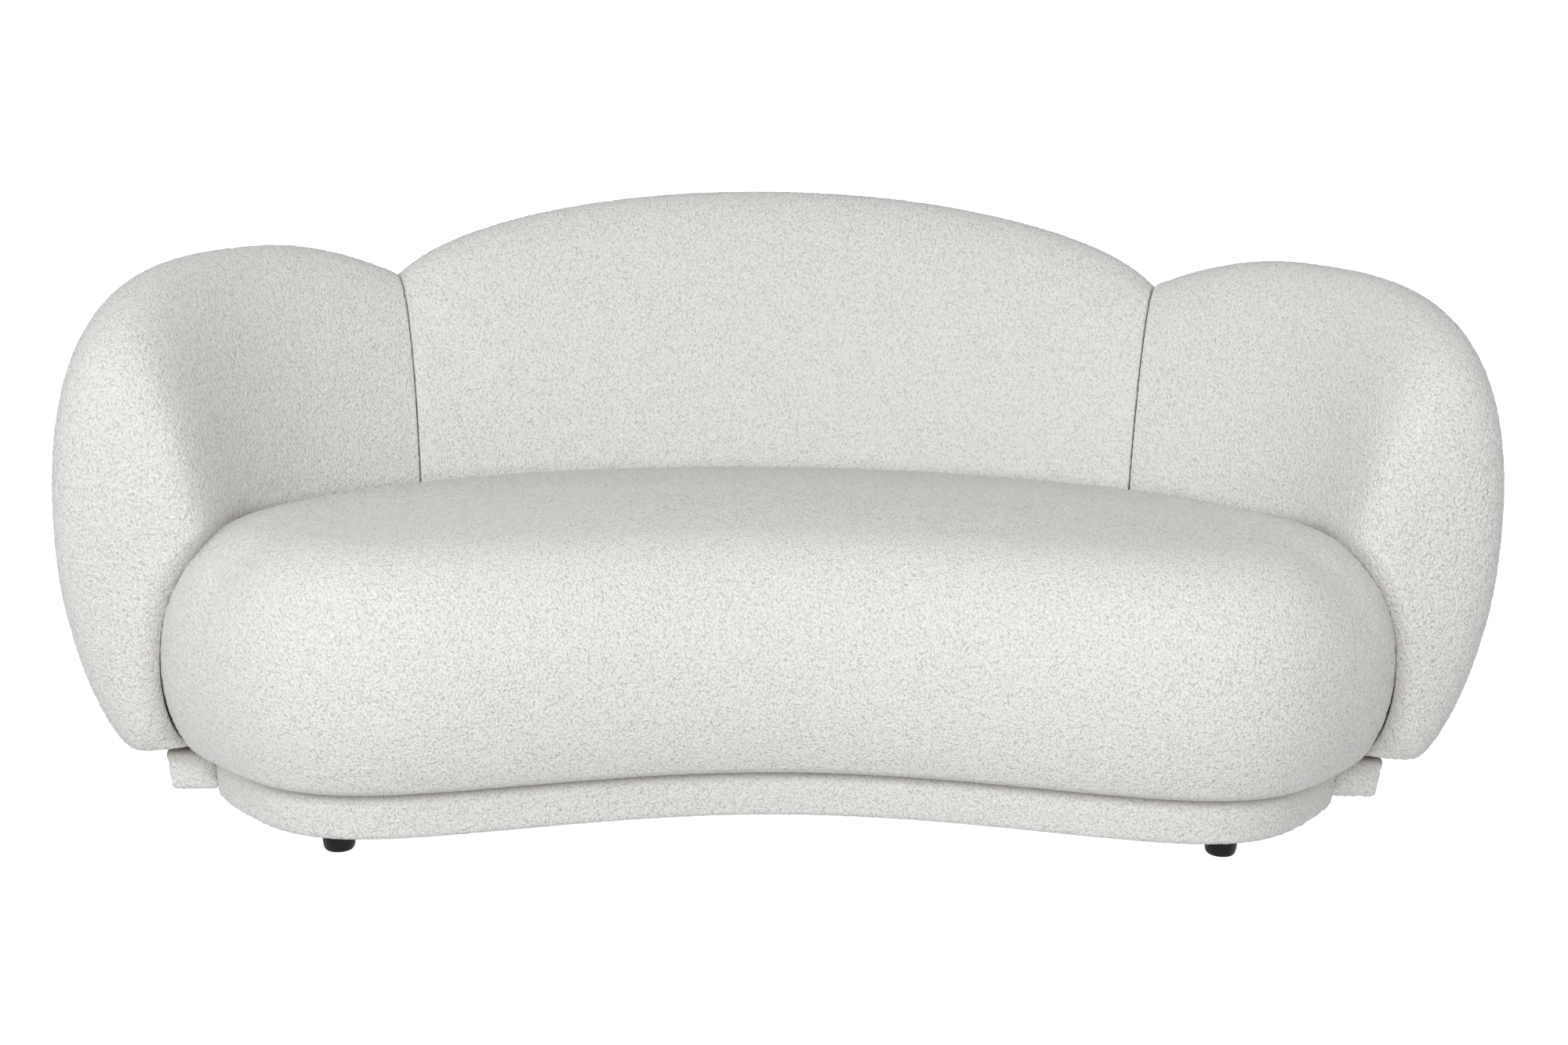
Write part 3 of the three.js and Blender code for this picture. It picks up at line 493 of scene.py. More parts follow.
def wingShape(share):
    # The same for a wing, at shares 0 at the seam to 1 at the nose
    drop = np.maximum(back["wingPeak"] - share, 0) / back["wingPeak"]
    past = np.maximum(share - back["wingPeak"], 0) / (1 - back["wingPeak"])
    fall = np.maximum(1 - past ** back["wingFallPower"], 0) ** (1 / back["wingCrestPower"])
    top = np.where(
        share < back["wingPeak"],
        back["wingTop"] - (back["wingTop"] - back["wingSeam"]) * drop ** 2,
        back["widest"] + (back["wingTop"] - back["widest"]) * fall,
    )
    thicker = back["wingHalfThickness"] - back["centerHalfThickness"]
    swell = thicker * np.minimum(share / back["swellShare"], 1)
    nose = np.sqrt(np.maximum(1 - share ** back["wingNosePower"], 0))
    pinch = 1 - back["seamPinch"] * (1 - share) ** back["wingPinchPower"]
    toe = np.maximum(1 - share ** back["wingToePower"], 0) ** (1 / back["wingToeRoundPower"])
    blend = np.minimum(share / back["blendShare"], 1)
    return {
        "run": back["centerRun"] + back["seamGap"] + share * back["wingRun"],
        "half": (back["centerHalfThickness"] + swell) * nose * pinch,
        "top": top,
        "bottomRise": toe,
        "taper": back["centerTaper"] + (back["wingTaper"] - back["centerTaper"]) * blend,
    }


def seamInset(away):
    # How far the surface draws in at a distance from a seam: a quarter circle
    closer = np.clip(back["seamRound"] - away, 0, back["seamRound"])
    return back["seamRound"] - np.sqrt(np.maximum(back["seamRound"] ** 2 - closer ** 2, 0))


def lobeRows(shape, inset, turns):
    # Upright sections: superelliptic with other powers above and below the widest level, flattened at
    # the bottom by a smooth maximum, the outer side tapered towards the floor, all leaning back a little
    half = np.maximum(shape["half"] - inset, 0)[:, None]
    rise = np.maximum(shape["top"] - back["widest"] - inset, 0)[:, None]
    depth = back["widest"] - back["bottom"]
    bottomRise = shape["bottomRise"][:, None]
    inset = inset[:, None]
    flat = back["widest"] - np.maximum(depth - inset, 0) * bottomRise
    drop = np.maximum(depth + back["bottomDraw"] - inset, 0) * bottomRise
    cosine, sine = np.cos(turns)[None, :], np.sin(turns)[None, :]
    above = sine >= 0
    lifted = back["widest"] + rise * np.abs(sine) ** (2 / back["topPower"])
    lowered = back["widest"] - drop * np.abs(sine) ** (2 / back["bottomPower"])
    apart = np.sqrt((lowered - flat) ** 2 + back["bottomRound"] ** 2)
    lowered = np.minimum((lowered + flat + apart) / 2, back["widest"])
    height = np.where(above, lifted, lowered)
    low = np.clip((back["widest"] - height) / back["taperHeight"], 0, 1)
    power = np.where(above, 2 / back["topPower"], 2 / back["sidePower"])
    unit = np.sign(cosine) * np.abs(cosine) ** power
    taper = shape["taper"][:, None] * low ** back["taperPower"] * np.maximum(unit, 0)
    lean = back["leanShare"] * (height - back["widest"])
    out = half * unit - taper + lean
    run = np.broadcast_to(shape["run"][:, None], out.shape)
    return np.stack([*backPlace(run, out), height], axis=-1)


def lobeGrid(kind, step):
    # Rows along a lobe, closer at its seams and spaced along run, thickness and top together. Columns
    # are spaced evenly round its fullest section.
    center = kind == "center"
    shapeAt = centerShape if center else wingShape
    half = np.sin(np.linspace(0, math.pi / 2, mesh["samples"]))
    share = np.concatenate([-half[:0:-1], half]) if center else half
    seamRun = back["centerRun"] - back["seamGap"] if center else back["centerRun"] + back["seamGap"]
    shape = shapeAt(share)
    away = np.abs(np.abs(shape["run"]) - seamRun)
    inset = seamInset(away)
    rise = back["widest"] * shape["bottomRise"]
    steps = np.diff(lengthAlong(shape["run"], shape["half"] - inset, shape["top"] - inset, rise))
    near = away[1:] < back["seamReachTimes"] * back["seamRound"]
    length = np.append(0.0, np.cumsum(steps * np.where(near, back["seamCloser"], 1.0)))
    rowShape = shapeAt(evenValues(share, length, int(length[-1] / step)))
    rowAway = np.abs(np.abs(rowShape["run"]) - seamRun)

    fineTurns = np.linspace(0, 2 * math.pi, 2 * mesh["samples"] - 1)
    fullest = np.array([0.0 if center else back["wingPeak"]])
    around = lengthAlong(*lobeRows(shapeAt(fullest), np.zeros(1), fineTurns)[0].T)
    columns = int(around[-1] / step)
    turns = evenValues(fineTurns, around, columns)[:-1]
    grid = lobeRows(rowShape, seamInset(rowAway), turns)
    points, quads, triangles = closedTube(grid)
    poles = [len(points) - 2, len(points) - 1]
    seamRows = np.nonzero(rowAway < back["seamRound"])[0]
    seamPoints = (seamRows[:, None] * columns + np.arange(columns)).ravel()
    bottomPoints = np.nonzero(points[:, 2] < back["bottom"] + mesh["step"])[0]
    return {
        "points": points,
        "quads": quads,
        "triangles": triangles,
        "shape": grid.shape[:2],
        "pinned": np.unique(np.concatenate([seamPoints, bottomPoints, poles])),
        "away": np.append(np.repeat(rowAway, columns), [0.0, 0.0]),
    }


# Swelling: the foam presses the fabric out between its seams

swelling = {
    "pressure": 4.0,
    "tension": 25.0,
    "shearShare": 0.5,      # of the tension
    "bending": 2.0,
    "quality": 6,
    "frames": 20,
    "cap": 0.004,
    "easing": 6,            # how many times the moves are averaged with those of their neighbours
}


def eased(moves, quads, pinned):
    # Each pass puts a point's move halfway to the mean of the moves at the other ends of its edges
    starts = quads.ravel()
    ends = np.roll(quads, -1, axis=1).ravel()
    here, there = np.concatenate([starts, ends]), np.concatenate([ends, starts])
    count = np.maximum(np.bincount(here, minlength=len(moves)), 1)
    for _ in range(swelling["easing"]):
        total = np.stack([np.bincount(here, moves[there, axis], len(moves)) for axis in range(3)], axis=-1)
        moves = (moves + total / count[:, None]) / 2
        moves[pinned] = 0
    return moves


def swollen(name, grid):
    # Runs cloth with inner pressure on a coarse mesh and gives back each point's move. The mean move
    # along the normals is taken off, so that the cushion keeps its size.
    points = grid["points"]
    piece = newObject(name, points, grid["quads"], grid["triangles"])
    group = piece.vertex_groups.new(name="pinned")
    group.add(grid["pinned"].tolist(), 1.0, "REPLACE")
    cloth = piece.modifiers.new("swelling", "CLOTH")
    settings = cloth.settings
    settings.quality = swelling["quality"]
    settings.vertex_group_mass = "pinned"
    settings.tension_stiffness = settings.compression_stiffness = swelling["tension"]
    settings.shear_stiffness = swelling["tension"] * swelling["shearShare"]
    settings.bending_stiffness = swelling["bending"]
    settings.use_pressure = True
    settings.uniform_pressure_force = swelling["pressure"]
    settings.effector_weights.gravity = 0.0
    cloth.point_cache.frame_end = swelling["frames"]
    for number in range(1, swelling["frames"] + 1):
        bpy.context.scene.frame_set(number)
    result = piece.evaluated_get(bpy.context.evaluated_depsgraph_get()).data
    moves = readVectors(result.vertices, "co") - points
    normals = readVectors(piece.data.vertex_normals, "vector")
    size = np.linalg.norm(moves, axis=1, keepdims=True)
    moves = moves * np.minimum(1.0, swelling["cap"] / np.maximum(size, tiny))
    free = np.ones(len(points), bool)
    free[grid["pinned"]] = False
    outMoves = (moves * normals).sum(axis=1)
    moves = moves - normals * outMoves[free].mean() * free[:, None]
    moves = eased(moves, grid["quads"], grid["pinned"])
    bpy.context.scene.frame_set(1)
    bpy.data.objects.remove(piece)
    stage(f"{name} swelled by {outMoves[free].min() * 1000:.1f} to {outMoves[free].max() * 1000:.1f} mm")
    return moves


def swelledGrid(name, gridAt, *kind):
    # The fine grid, and its points with the moves of a coarse one read at them
    fine = gridAt(*kind, mesh["step"])
    coarse = gridAt(*kind, mesh["step"] * mesh["coarseTimes"])
    return fine, fine["points"] + fineMoves(coarse, swollen(name, coarse), fine)


# Nubs: the loops of the fabric, as rounded grains with a direction of their own

nubs = {
    "size": 0.0063,
    "height": 0.0025,
    "stretch": 0.55,
    "seed": 11,
    "bareHeight": 0.5,      # share of the height that is left where fabric lies on something
}
hashing = {
    "primes": (73856093, 19349663, 83492791),
    "seedPrime": 2654435761,
    "shifts": (15, 13),
    "factors": (2246822519, 3266489917),
    "keyMask": 0xFFFFFFFF,
    "shareMask": 0xFFFFFF,
}


def randomShares(cells, seed):
    # Three shares from 0 to 1 for each cell of a lattice, from integer hashing
    key = seed * hashing["seedPrime"]
    for axis, prime in enumerate(hashing["primes"]):
        key = key ^ cells[:, axis] * prime
    shares = []
    for turn in range(3):
        for shift, factor, added in zip(hashing["shifts"], hashing["factors"], (0, turn)):
            key = (key ^ (key >> shift)) * factor + added & hashing["keyMask"]
        shares.append((key & hashing["shareMask"]) / (hashing["shareMask"] + 1))
    return np.stack(shares, axis=-1)


def nubHeights(points):
    # Each cell of a lattice holds one grain at a random place. A point's height is 1 less its distance
    # to the nearest grain, where distances along that grain's own direction count for less.
    scaled = points / nubs["size"]
    base = np.floor(scaled).astype(np.int64)
    nearest = np.full(len(points), np.inf)
    for offset in np.ndindex(3, 3, 3):
        cells = base + np.array(offset) - 1
        apart = scaled - cells - randomShares(cells, nubs["seed"])
        axis = randomShares(cells, nubs["seed"] + 1) - 0.5
        axis /= np.linalg.norm(axis, axis=1, keepdims=True) + tiny
        along = (apart * axis).sum(axis=1)
        nearest = np.minimum(nearest, (apart ** 2).sum(axis=1) - nubs["stretch"] * along ** 2)
    return 1 - np.sqrt(np.maximum(nearest, 0))


def addNubs(piece, share, shade):
    # Moves each point along its normal by the nubs' height, less the mean, times a share per point, and
    # keeps how much painted shade each point has as an attribute
    data = piece.data
    points = readVectors(data.vertices, "co")
    normals = readVectors(data.vertex_normals, "vector")
    heights = nubHeights(points.astype(float))
    points = points + normals * ((heights - heights.mean()) * nubs["height"] * share)[:, None]
    data.vertices.foreach_set("co", points.astype(np.float32).ravel())
    stored = data.attributes.new("seamDepth", "FLOAT", "POINT")
    stored.data.foreach_set("value", np.asarray(shade, np.float32))
    data.update()


# Materials

def addNode(tree, kind, inputs=None, **settings):
    # A node with its settings, and a value or a link on each input that is named
    made = tree.nodes.new(kind)
    for name, value in settings.items():
        setattr(made, name, value)
    for name, value in (inputs or {}).items():
        if isinstance(value, bpy.types.NodeSocket):
            tree.links.new(value, made.inputs[name])
        else:
            made.inputs[name].default_value = value
    return made


def newMaterial(name, values):
    # A material with values on its shader's sockets, and what the rest is built on
    made = bpy.data.materials.new(name)
    made.use_nodes = True
    tree = made.node_tree
    shader = tree.nodes["Principled BSDF"]
    for socket, value in values.items():
        shader.inputs[socket].default_value = value
    place = addNode(tree, "ShaderNodeTexCoord").outputs["Object"]
    return made, tree, shader, place


def mixColors(tree, share, low, high):
    return addNode(tree, "ShaderNodeMix", {0: share, 6: low, 7: high}, data_type="RGBA").outputs[2]


def math2(tree, operation, first, second):
    return addNode(tree, "ShaderNodeMath", {0: first, 1: second}, operation=operation).outputs[0]


def mixValues(tree, first, second, share):
    # first (1 - share) + second share
    rest = math2(tree, "MULTIPLY", first, 1 - share)
    return math2(tree, "ADD", rest, math2(tree, "MULTIPLY", second, share))


def vectorMath(tree, operation, inputs):
    return addNode(tree, "ShaderNodeVectorMath", inputs, operation=operation).outputs[0]


def ramp(tree, value, low, high):
    made = addNode(tree, "ShaderNodeMapRange", {"Value": value, "From Min": low, "From Max": high})
    return made.outputs["Result"]


def noise(tree, place, values):
    return addNode(tree, "ShaderNodeTexNoise", {"Vector": place, **values}).outputs


def stretched(tree, place, scale):
    return addNode(tree, "ShaderNodeMapping", {"Vector": place, "Scale": scale}).outputs[0]


def linkBump(tree, shader, height, distance):
    bump = addNode(tree, "ShaderNodeBump", {"Height": height, "Distance": distance})
    tree.links.new(bump.outputs["Normal"], shader.inputs["Normal"])


boucle = {
    "shader": {"Roughness": 0.95, "Specular IOR Level": 0.2, "Sheen Weight": 0.2, "Sheen Roughness": 0.6},
    "yarn": (0.842, 0.842, 0.829, 1),
    "pitShadeTone": (0.66, 0.65, 0.625, 1),
    "seam": (0.24, 0.20, 0.17, 1),
    "curls": {"Scale": 310.0},
    "curlStretch": (1.0, 1.0, 0.70),    # the scale along a curl, as a share of the scale across it
    "curlTurns": [(0.35, 0.25, 0.0), (-0.60, 0.50, 1.1)],
    "wandering": {"Scale": 150.0, "Detail": 1.0},
    "wander": 0.003,
    "threads": {"Scale": 700.0, "Detail": 1.0},
    "threadShare": 0.10,
    "bump": 0.0026,
    "pitShadeFrom": 0.22,        # distance from the curls at which a pit's painted shade begins, and where it is darkest
    "pitShadeTo": 0.72,
}


def boucleMaterial():
    # Curls: two layers of long domes, each lying its own way on places that noise has pushed about. The
    # higher dome shows, height = 1 - distance^2. Painted shade darkens the yarn in the pits that no dome
    # reaches, and a browner painted shade lies in seams and where pieces touch.
    made, tree, shader, place = newMaterial("boucle", boucle["shader"])
    push = noise(tree, place, boucle["wandering"])["Color"]
    push = vectorMath(tree, "SUBTRACT", {0: push, 1: (0.5, 0.5, 0.5)})
    push = vectorMath(tree, "SCALE", {0: push, "Scale": boucle["wander"]})
    warped = vectorMath(tree, "ADD", {0: place, 1: push})
    layers = []
    for turn in boucle["curlTurns"]:
        turned = addNode(
            tree, "ShaderNodeVectorRotate", {"Vector": warped, "Rotation": turn}, rotation_type="EULER_XYZ"
        )
        along = stretched(tree, turned.outputs[0], boucle["curlStretch"])
        curls = addNode(tree, "ShaderNodeTexVoronoi", {"Vector": along, **boucle["curls"]}, feature="F1")
        layers.append(curls.outputs["Distance"])
    distance = math2(tree, "MINIMUM", *layers)
    dome = math2(tree, "SUBTRACT", 1.0, math2(tree, "MULTIPLY", distance, distance))
    threads = noise(tree, warped, boucle["threads"])["Fac"]
    linkBump(tree, shader, mixValues(tree, dome, threads, boucle["threadShare"]), boucle["bump"])
    # Painted shade in the pits between the curls
    pitShade = ramp(tree, distance, boucle["pitShadeFrom"], boucle["pitShadeTo"])
    yarn = mixColors(tree, pitShade, boucle["yarn"], boucle["pitShadeTone"])
    # Painted shade, brown, from each point's attribute: in seams, along the seat's bottom edge, on the
    # plinths' tops and where the lobes touch the seat
    depth = addNode(tree, "ShaderNodeAttribute", attribute_name="seamDepth").outputs["Fac"]
    tree.links.new(mixColors(tree, depth, yarn, boucle["seam"]), shader.inputs["Base Color"])
    return made


# The other finishes: each works out a tone, which gives its color between dark and light and its bump

timber = {
    "shader": {"Roughness": 0.7},
    "stretch": (1.0, 7.0, 7.0),     # finer across the grain
    "grain": {"Scale": 16.0, "Detail": 4.0, "Distortion": 0.6},
    "pores": {"Scale": 144.0, "Detail": 2.0},
    "poreShare": 0.25,
    "range": (0.35, 0.65),          # of the tone, from dark to light
    "dark": (0.40, 0.24, 0.11, 1),
    "light": (0.60, 0.40, 0.21, 1),
    "bump": 0.0006,
}
plywood = {
    "shader": {"Roughness": 0.6},
    "stretch": (1.0, 6.0, 1.0),
    "figure": {"Scale": 14.0, "Detail": 5.0, "Distortion": 0.8},
    "plies": {"Scale": 95.0, "Distortion": 0.4},
    "plyShare": 0.3,
    "range": (0.25, 0.75),
    "dark": (0.42, 0.27, 0.13, 1),
    "light": (0.68, 0.50, 0.29, 1),
    "bump": 0.0004,
}
dustCloth = {
    "shader": {"Roughness": 0.9},
    "stretches": ((1.0, 0.25, 1.0), (0.25, 1.0, 1.0)),
    "streaks": {"Scale": 900.0, "Detail": 2.0},
    "range": (0.35, 0.65),
    "dark": (0.010, 0.010, 0.011, 1),
    "light": (0.045, 0.045, 0.047, 1),
    "bump": 0.0004,
}
speckled = {
    "foam": {
        "shader": {"Roughness": 0.95},
        "speckle": {"Scale": 700.0, "Detail": 3.0},
        "range": (0.35, 0.65),
        "dark": (0.62, 0.50, 0.24, 1),
        "light": (0.80, 0.68, 0.38, 1),
        "bump": 0.0008,
    },
    "felt": {
        "shader": {"Roughness": 1.0},
        "speckle": {"Scale": 420.0, "Detail": 3.0},
        "range": (0.35, 0.65),
        "dark": (0.10, 0.10, 0.09, 1),
        "light": (0.28, 0.27, 0.26, 1),
        "bump": 0.001,
    },
    "steel": {
        "shader": {"Roughness": 0.38, "Metallic": 1.0},
        "speckle": {"Scale": 260.0, "Detail": 3.0},
        "range": (0.35, 0.65),
        "dark": (0.42, 0.43, 0.45, 1),
        "light": (0.60, 0.61, 0.63, 1),
        "bump": 0.0001,
    },
    "foot_plastic": {
        "shader": {"Roughness": 0.5, "Specular IOR Level": 0.15},
        "speckle": {"Scale": 900.0, "Detail": 3.0},
        "range": (0.35, 0.65),
        "dark": (0.003, 0.003, 0.003, 1),
        "light": (0.007, 0.007, 0.007, 1),
        "bump": 0.0001,
    },
}


def linkTone(tree, shader, tone, values):
    # Color and bump from a tone
    color = mixColors(tree, ramp(tree, tone, *values["range"]), values["dark"], values["light"])
    tree.links.new(color, shader.inputs["Base Color"])
    linkBump(tree, shader, tone, values["bump"])


def timberMaterial():
    # Grain: noise stretched along the board, with finer pores
    made, tree, shader, place = newMaterial("timber", timber["shader"])
    board = stretched(tree, place, timber["stretch"])
    grain = noise(tree, board, timber["grain"])["Fac"]
    pores = noise(tree, board, timber["pores"])["Fac"]
    linkTone(tree, shader, mixValues(tree, grain, pores, timber["poreShare"]), timber)
    return made


def plywoodMaterial():
    # Figure: stretched noise. Edges show their plies as bands in height.
    made, tree, shader, place = newMaterial("plywood", plywood["shader"])
    figure = noise(tree, stretched(tree, place, plywood["stretch"]), plywood["figure"])["Fac"]
    plies = addNode(tree, "ShaderNodeTexWave", {"Vector": place, **plywood["plies"]}, bands_direction="Z")
    linkTone(tree, shader, mixValues(tree, figure, plies.outputs["Fac"], plywood["plyShare"]), plywood)
    return made


def dustClothMaterial():
    # Pressed fibres: short crossing streaks, the mean of two stretched noises
    made, tree, shader, place = newMaterial("dust_cloth", dustCloth["shader"])
    streaks = [
        noise(tree, stretched(tree, place, stretch), dustCloth["streaks"])["Fac"]
        for stretch in dustCloth["stretches"]
    ]
    linkTone(tree, shader, mixValues(tree, *streaks, 0.5), dustCloth)
    return made


def speckledMaterial(name, values):
    # One fine noise
    made, tree, shader, place = newMaterial(name, values["shader"])
    linkTone(tree, shader, noise(tree, place, values["speckle"])["Fac"], values)
    return made


materials = {name: speckledMaterial(name, values) for name, values in speckled.items()}
materials["boucle_fabric"] = boucleMaterial()
materials["timber"] = timberMaterial()
materials["plywood"] = plywoodMaterial()
materials["dust_cloth"] = dustClothMaterial()


def dress(piece, slot, replaced):
    piece.data.materials.append(materials[slot])
    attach(piece, "root")
    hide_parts(*replaced)


# Seat cushion

def seatInsetAt(heights):
    insets, levels = seatProfile()
    return np.interp(heights, levels, insets)


def makeSeat():
    fine, points = swelledGrid("seat_swelling", seatGrid)
    piece = newObject("seat_cushion", points, fine["quads"], fine["triangles"])
    share = np.where(points[:, 2] < seat["bottom"] + mesh["step"], nubs["bareHeight"], 1.0)
    # Painted shade along the bottom edge, where the seat sits on its plinth
    addNubs(piece, share, np.clip(1 - (points[:, 2] - seat["bottom"]) / seat["seamHeight"], 0, 1))
    dress(piece, "boucle_fabric", ["seat_cover", "seat_foam"])
    stage(f"seat cushion with {len(points)} points")


makeSeat()

# Back lobes

contact = {
    "clearance": 0.0003,    # between the seat's fabric and the lobes' fabric
    "soft": 0.0015,         # rounding where a lobe leaves the seat, as a share of the seat's reach
    "newtonSteps": 4,
    "nubShare": 0.3,
    "shade": 0.50,          # how much brown painted shade the lobes get where they touch the seat
    "shadeReach": 0.032,    # gap over which that fades
    "shadePower": 2.2,
    "profilePlaces": 160,
}


def seatGauge(points, inset):
    # The gauge of a point on the seat's outline drawn in by an inset, and the gauge's slope there
    length, depth = seat["halfLength"] - inset, seat["halfDepth"] - inset
    gauge, *slopes = kidneyGauge(*seatCoordinates(points[:, 0], points[:, 1]), length, depth)
    return gauge, np.hypot(*slopes)


def seatNearness(points):
    # 1 on the seat and 0 at a reach from it, by the distance to the nearest place of the seat's profile. A
    # point's own inset is (1 - gauge) / slope.
    insets, heights = seatProfile()
    length = lengthAlong(insets, heights)
    insets = evenValues(insets, length, contact["profilePlaces"])
    heights = evenValues(heights, length, contact["profilePlaces"])
    gauge, slope = seatGauge(points, 0.0)
    within = (1 - gauge) / slope
    nearest = np.full(len(points), contact["shadeReach"])
    for inset, height in zip(insets, heights):
        nearest = np.minimum(nearest, np.hypot(within - inset, points[:, 2] - height))
    return 1 - nearest / contact["shadeReach"]


def noseDrawn(points):
    # The front of a wing is drawn back to a blunt face: past a start, the distance becomes its hyperbolic
    # tangent on the scale of a reach, which is short beside the seat and eases to a long one away from it
    inset = seatInsetAt(points[:, 2])
    gauge = seatGauge(points, inset)[0]
    away = np.clip((gauge - 1) * (seat["halfLength"] - inset) / back["noseEase"], 0, 1)
    reach = back["noseReachNear"] + (back["noseReach"] - back["noseReachNear"]) * away ** 2 * (3 - 2 * away)
    past = np.maximum(back["noseStart"] - points[:, 1], 0)
    drawn = points.copy()
    drawn[:, 1] += past - reach * np.tanh(past / reach)
    return drawn


def pressedBySeat(points):
    # Points inside the seat move out of it, square to its outline, by Newton steps on the gauge. The gauge
    # that a point is sent to is the smooth maximum of 1 and its own, (g + 1 + ((g - 1)^2 + soft^2)^0.5) / 2.
    inset = seatInsetAt(points[:, 2]) - contact["clearance"]
    length, depth = seat["halfLength"] - inset, seat["halfDepth"] - inset
    along, across = seatCoordinates(points[:, 0], points[:, 1])
    start = kidneyGauge(along, across, length, depth)[0]
    topEdge = seat["top"] - seat["crown"] + seatCrown(seat["rollInset"])
    inside = (points[:, 2] > seat["bottom"]) & (points[:, 2] < topEdge)
    goal = np.where(inside, (start + 1 + np.sqrt((start - 1) ** 2 + contact["soft"] ** 2)) / 2, start)
    for _ in range(contact["newtonSteps"]):
        gauge, slopeAlong, slopeAcross = kidneyGauge(along, across, length, depth)
        step = np.where(gauge < goal, (goal - gauge) / (slopeAlong ** 2 + slopeAcross ** 2), 0)
        along, across = along + step * slopeAlong, across + step * slopeAcross
    x, y = seatPlace(along, across)
    return np.stack([x, y, points[:, 2]], axis=-1)


def makeLobe(name, kind, mirrored, replaced):
    fine, points = swelledGrid(f"{name}_swelling", lobeGrid, kind)
    if kind == "wing":
        points = noseDrawn(points)
    free = points
    points = pressedBySeat(points)
    pressed = np.clip(np.linalg.norm(points - free, axis=1) / back["seamRound"], 0, 1)
    # Painted shade where the lobe touches the seat, fading over a reach from it
    near = contact["shade"] * seatNearness(points) ** contact["shadePower"]
    if mirrored:
        points = points * np.array([-1.0, 1.0, 1.0])
    piece = newObject(name, points, fine["quads"], fine["triangles"])
    share = np.clip(fine["away"] / back["seamRound"], back["seamNubShare"], 1)
    share = share * (1 - (1 - contact["nubShare"]) * pressed)
    share = np.where(points[:, 2] < back["bottom"] + mesh["step"], share * nubs["bareHeight"], share)
    # Painted shade in the seams between the lobes
    deep = np.clip(1 - fine["away"] / back["seamShade"], 0, 1)
    addNubs(piece, share, np.maximum(deep, near))
    dress(piece, "boucle_fabric", replaced)
    stage(f"{name} with {len(points)} points")


makeLobe("center_back_lobe", "center", False, ["center_back_cover", "center_back_foam"])
makeLobe("left_wing_lobe", "wing", True, ["left_wing_cover", "left_wing_foam"])
makeLobe("right_wing_lobe", "wing", False, ["right_wing_cover", "right_wing_foam"])

# Plinths

plinth = {
    "inset": 0.027,
    "bottom": 0.030,
    "seatTop": 0.105,
    "edge": 0.010,
    "bulge": 0.002,
    "lip": 0.050,
    "lipSlope": 0.001,
    "recess": 0.0045,
    "recessRun": 0.020,
    "backTop": 0.092,
    "backInset": 0.022,
    "backLean": 0.015,
    "backDepth": 0.170,
    "backReachShare": 0.8,
    "clearance": 0.0008,
    "pushReach": 0.25,      # the furthest that the seat's plinth pushes the back one, found by halving
    "halvings": 16,
    "bareShare": 0.05,      # share of the back plinth's width, next to the seat's, over which its nubs fade
    "nubShare": 1.35,
    "hiddenNubShare": 0.3,  # on the top and the underside
    "hiddenHeight": 0.001,  # how far from them a point still counts as lying there
    # painted shade on the plinth's top, under what it carries, fading over a height
    "shade": 0.9,
    "shadeHeight": 0.020,
    "shadePower": 1.5,
    "fill": 1.0,
}
plinth["halfLength"] = seat["halfLength"] - seat["bottomInset"] - plinth["inset"]
plinth["halfDepth"] = seat["halfDepth"] - seat["bottomInset"] - plinth["inset"]


def plinthBulge(heights):
    # The seat plinth's wall stands proud by this parabola between its top and bottom
    share = (heights - plinth["bottom"]) / (plinth["seatTop"] - plinth["bottom"]) * 2 - 1
    return -plinth["bulge"] * np.maximum(1 - share ** 2, 0)


def plinthPush(points, ways):
    # How far each point has to go along its way to leave the seat's plinth, where its gauge is 1
    inset = plinthBulge(points[:, 2]) - plinth["clearance"]
    length, depth = plinth["halfLength"] - inset, plinth["halfDepth"] - inset
    low = np.zeros(len(points))
    high = np.full(len(points), plinth["pushReach"])
    for _ in range(plinth["halvings"]):
        middle = (low + high) / 2
        along, across = seatCoordinates(*(points[:, :2] + ways * middle[:, None]).T)
        within = kidneyGauge(along, across, length, depth)[0] < 1
        low = np.where(within, middle, low)
        high = np.where(within, high, middle)
    return low


def makePlinth(name, rows, top, nubFade=1.0):
    # Its painted shade is deepest at the top, where it goes under what it carries, and gone a little way
    # below
    points, quads, triangles = closedTube(rows)
    piece = newObject(name, points, quads, triangles)
    low, high = plinth["bottom"] + plinth["hiddenHeight"], top - plinth["hiddenHeight"]
    hidden = (points[:, 2] > high) | (points[:, 2] < low)
    share = np.where(hidden, plinth["hiddenNubShare"], plinth["nubShare"])
    share[:-2] *= nubFade
    share[-2:] = 0
    deep = np.clip(1 - (top - points[:, 2]) / plinth["shadeHeight"], 0, 1)
    addNubs(piece, share, plinth["shade"] * deep ** plinth["shadePower"])
    dress(piece, "boucle_fabric", [f"{name}_cover"])
    stage(f"{name} with {len(points)} points")


def makeSeatPlinth():
    # The profile is a line of insets and heights: top, wall with a slight bulge, underside, lip and recess
    top, bottom = plinth["seatTop"], plinth["bottom"]
    lip, recess = plinth["lip"], bottom + plinth["recess"]
    corners = [
        (lip, top),
        (0.0, top),
        (-plinth["bulge"], (top + bottom) / 2),
        (0.0, bottom),
        (lip, bottom),
        (lip + plinth["lipSlope"], recess),
        (lip + plinth["recessRun"], recess),
    ]
    profile = roundedLine(corners, plinth["edge"], mesh["arcPoints"])
    insets, heights = evenLine(mesh["step"], *profile.T)
    columns = int(outlineLength(plinth) / mesh["step"])
    rows = kidneyRows(evenTurns(columns, plinth)[:-1], insets, heights, plinth)
    makePlinth("seat_plinth", rows, top)


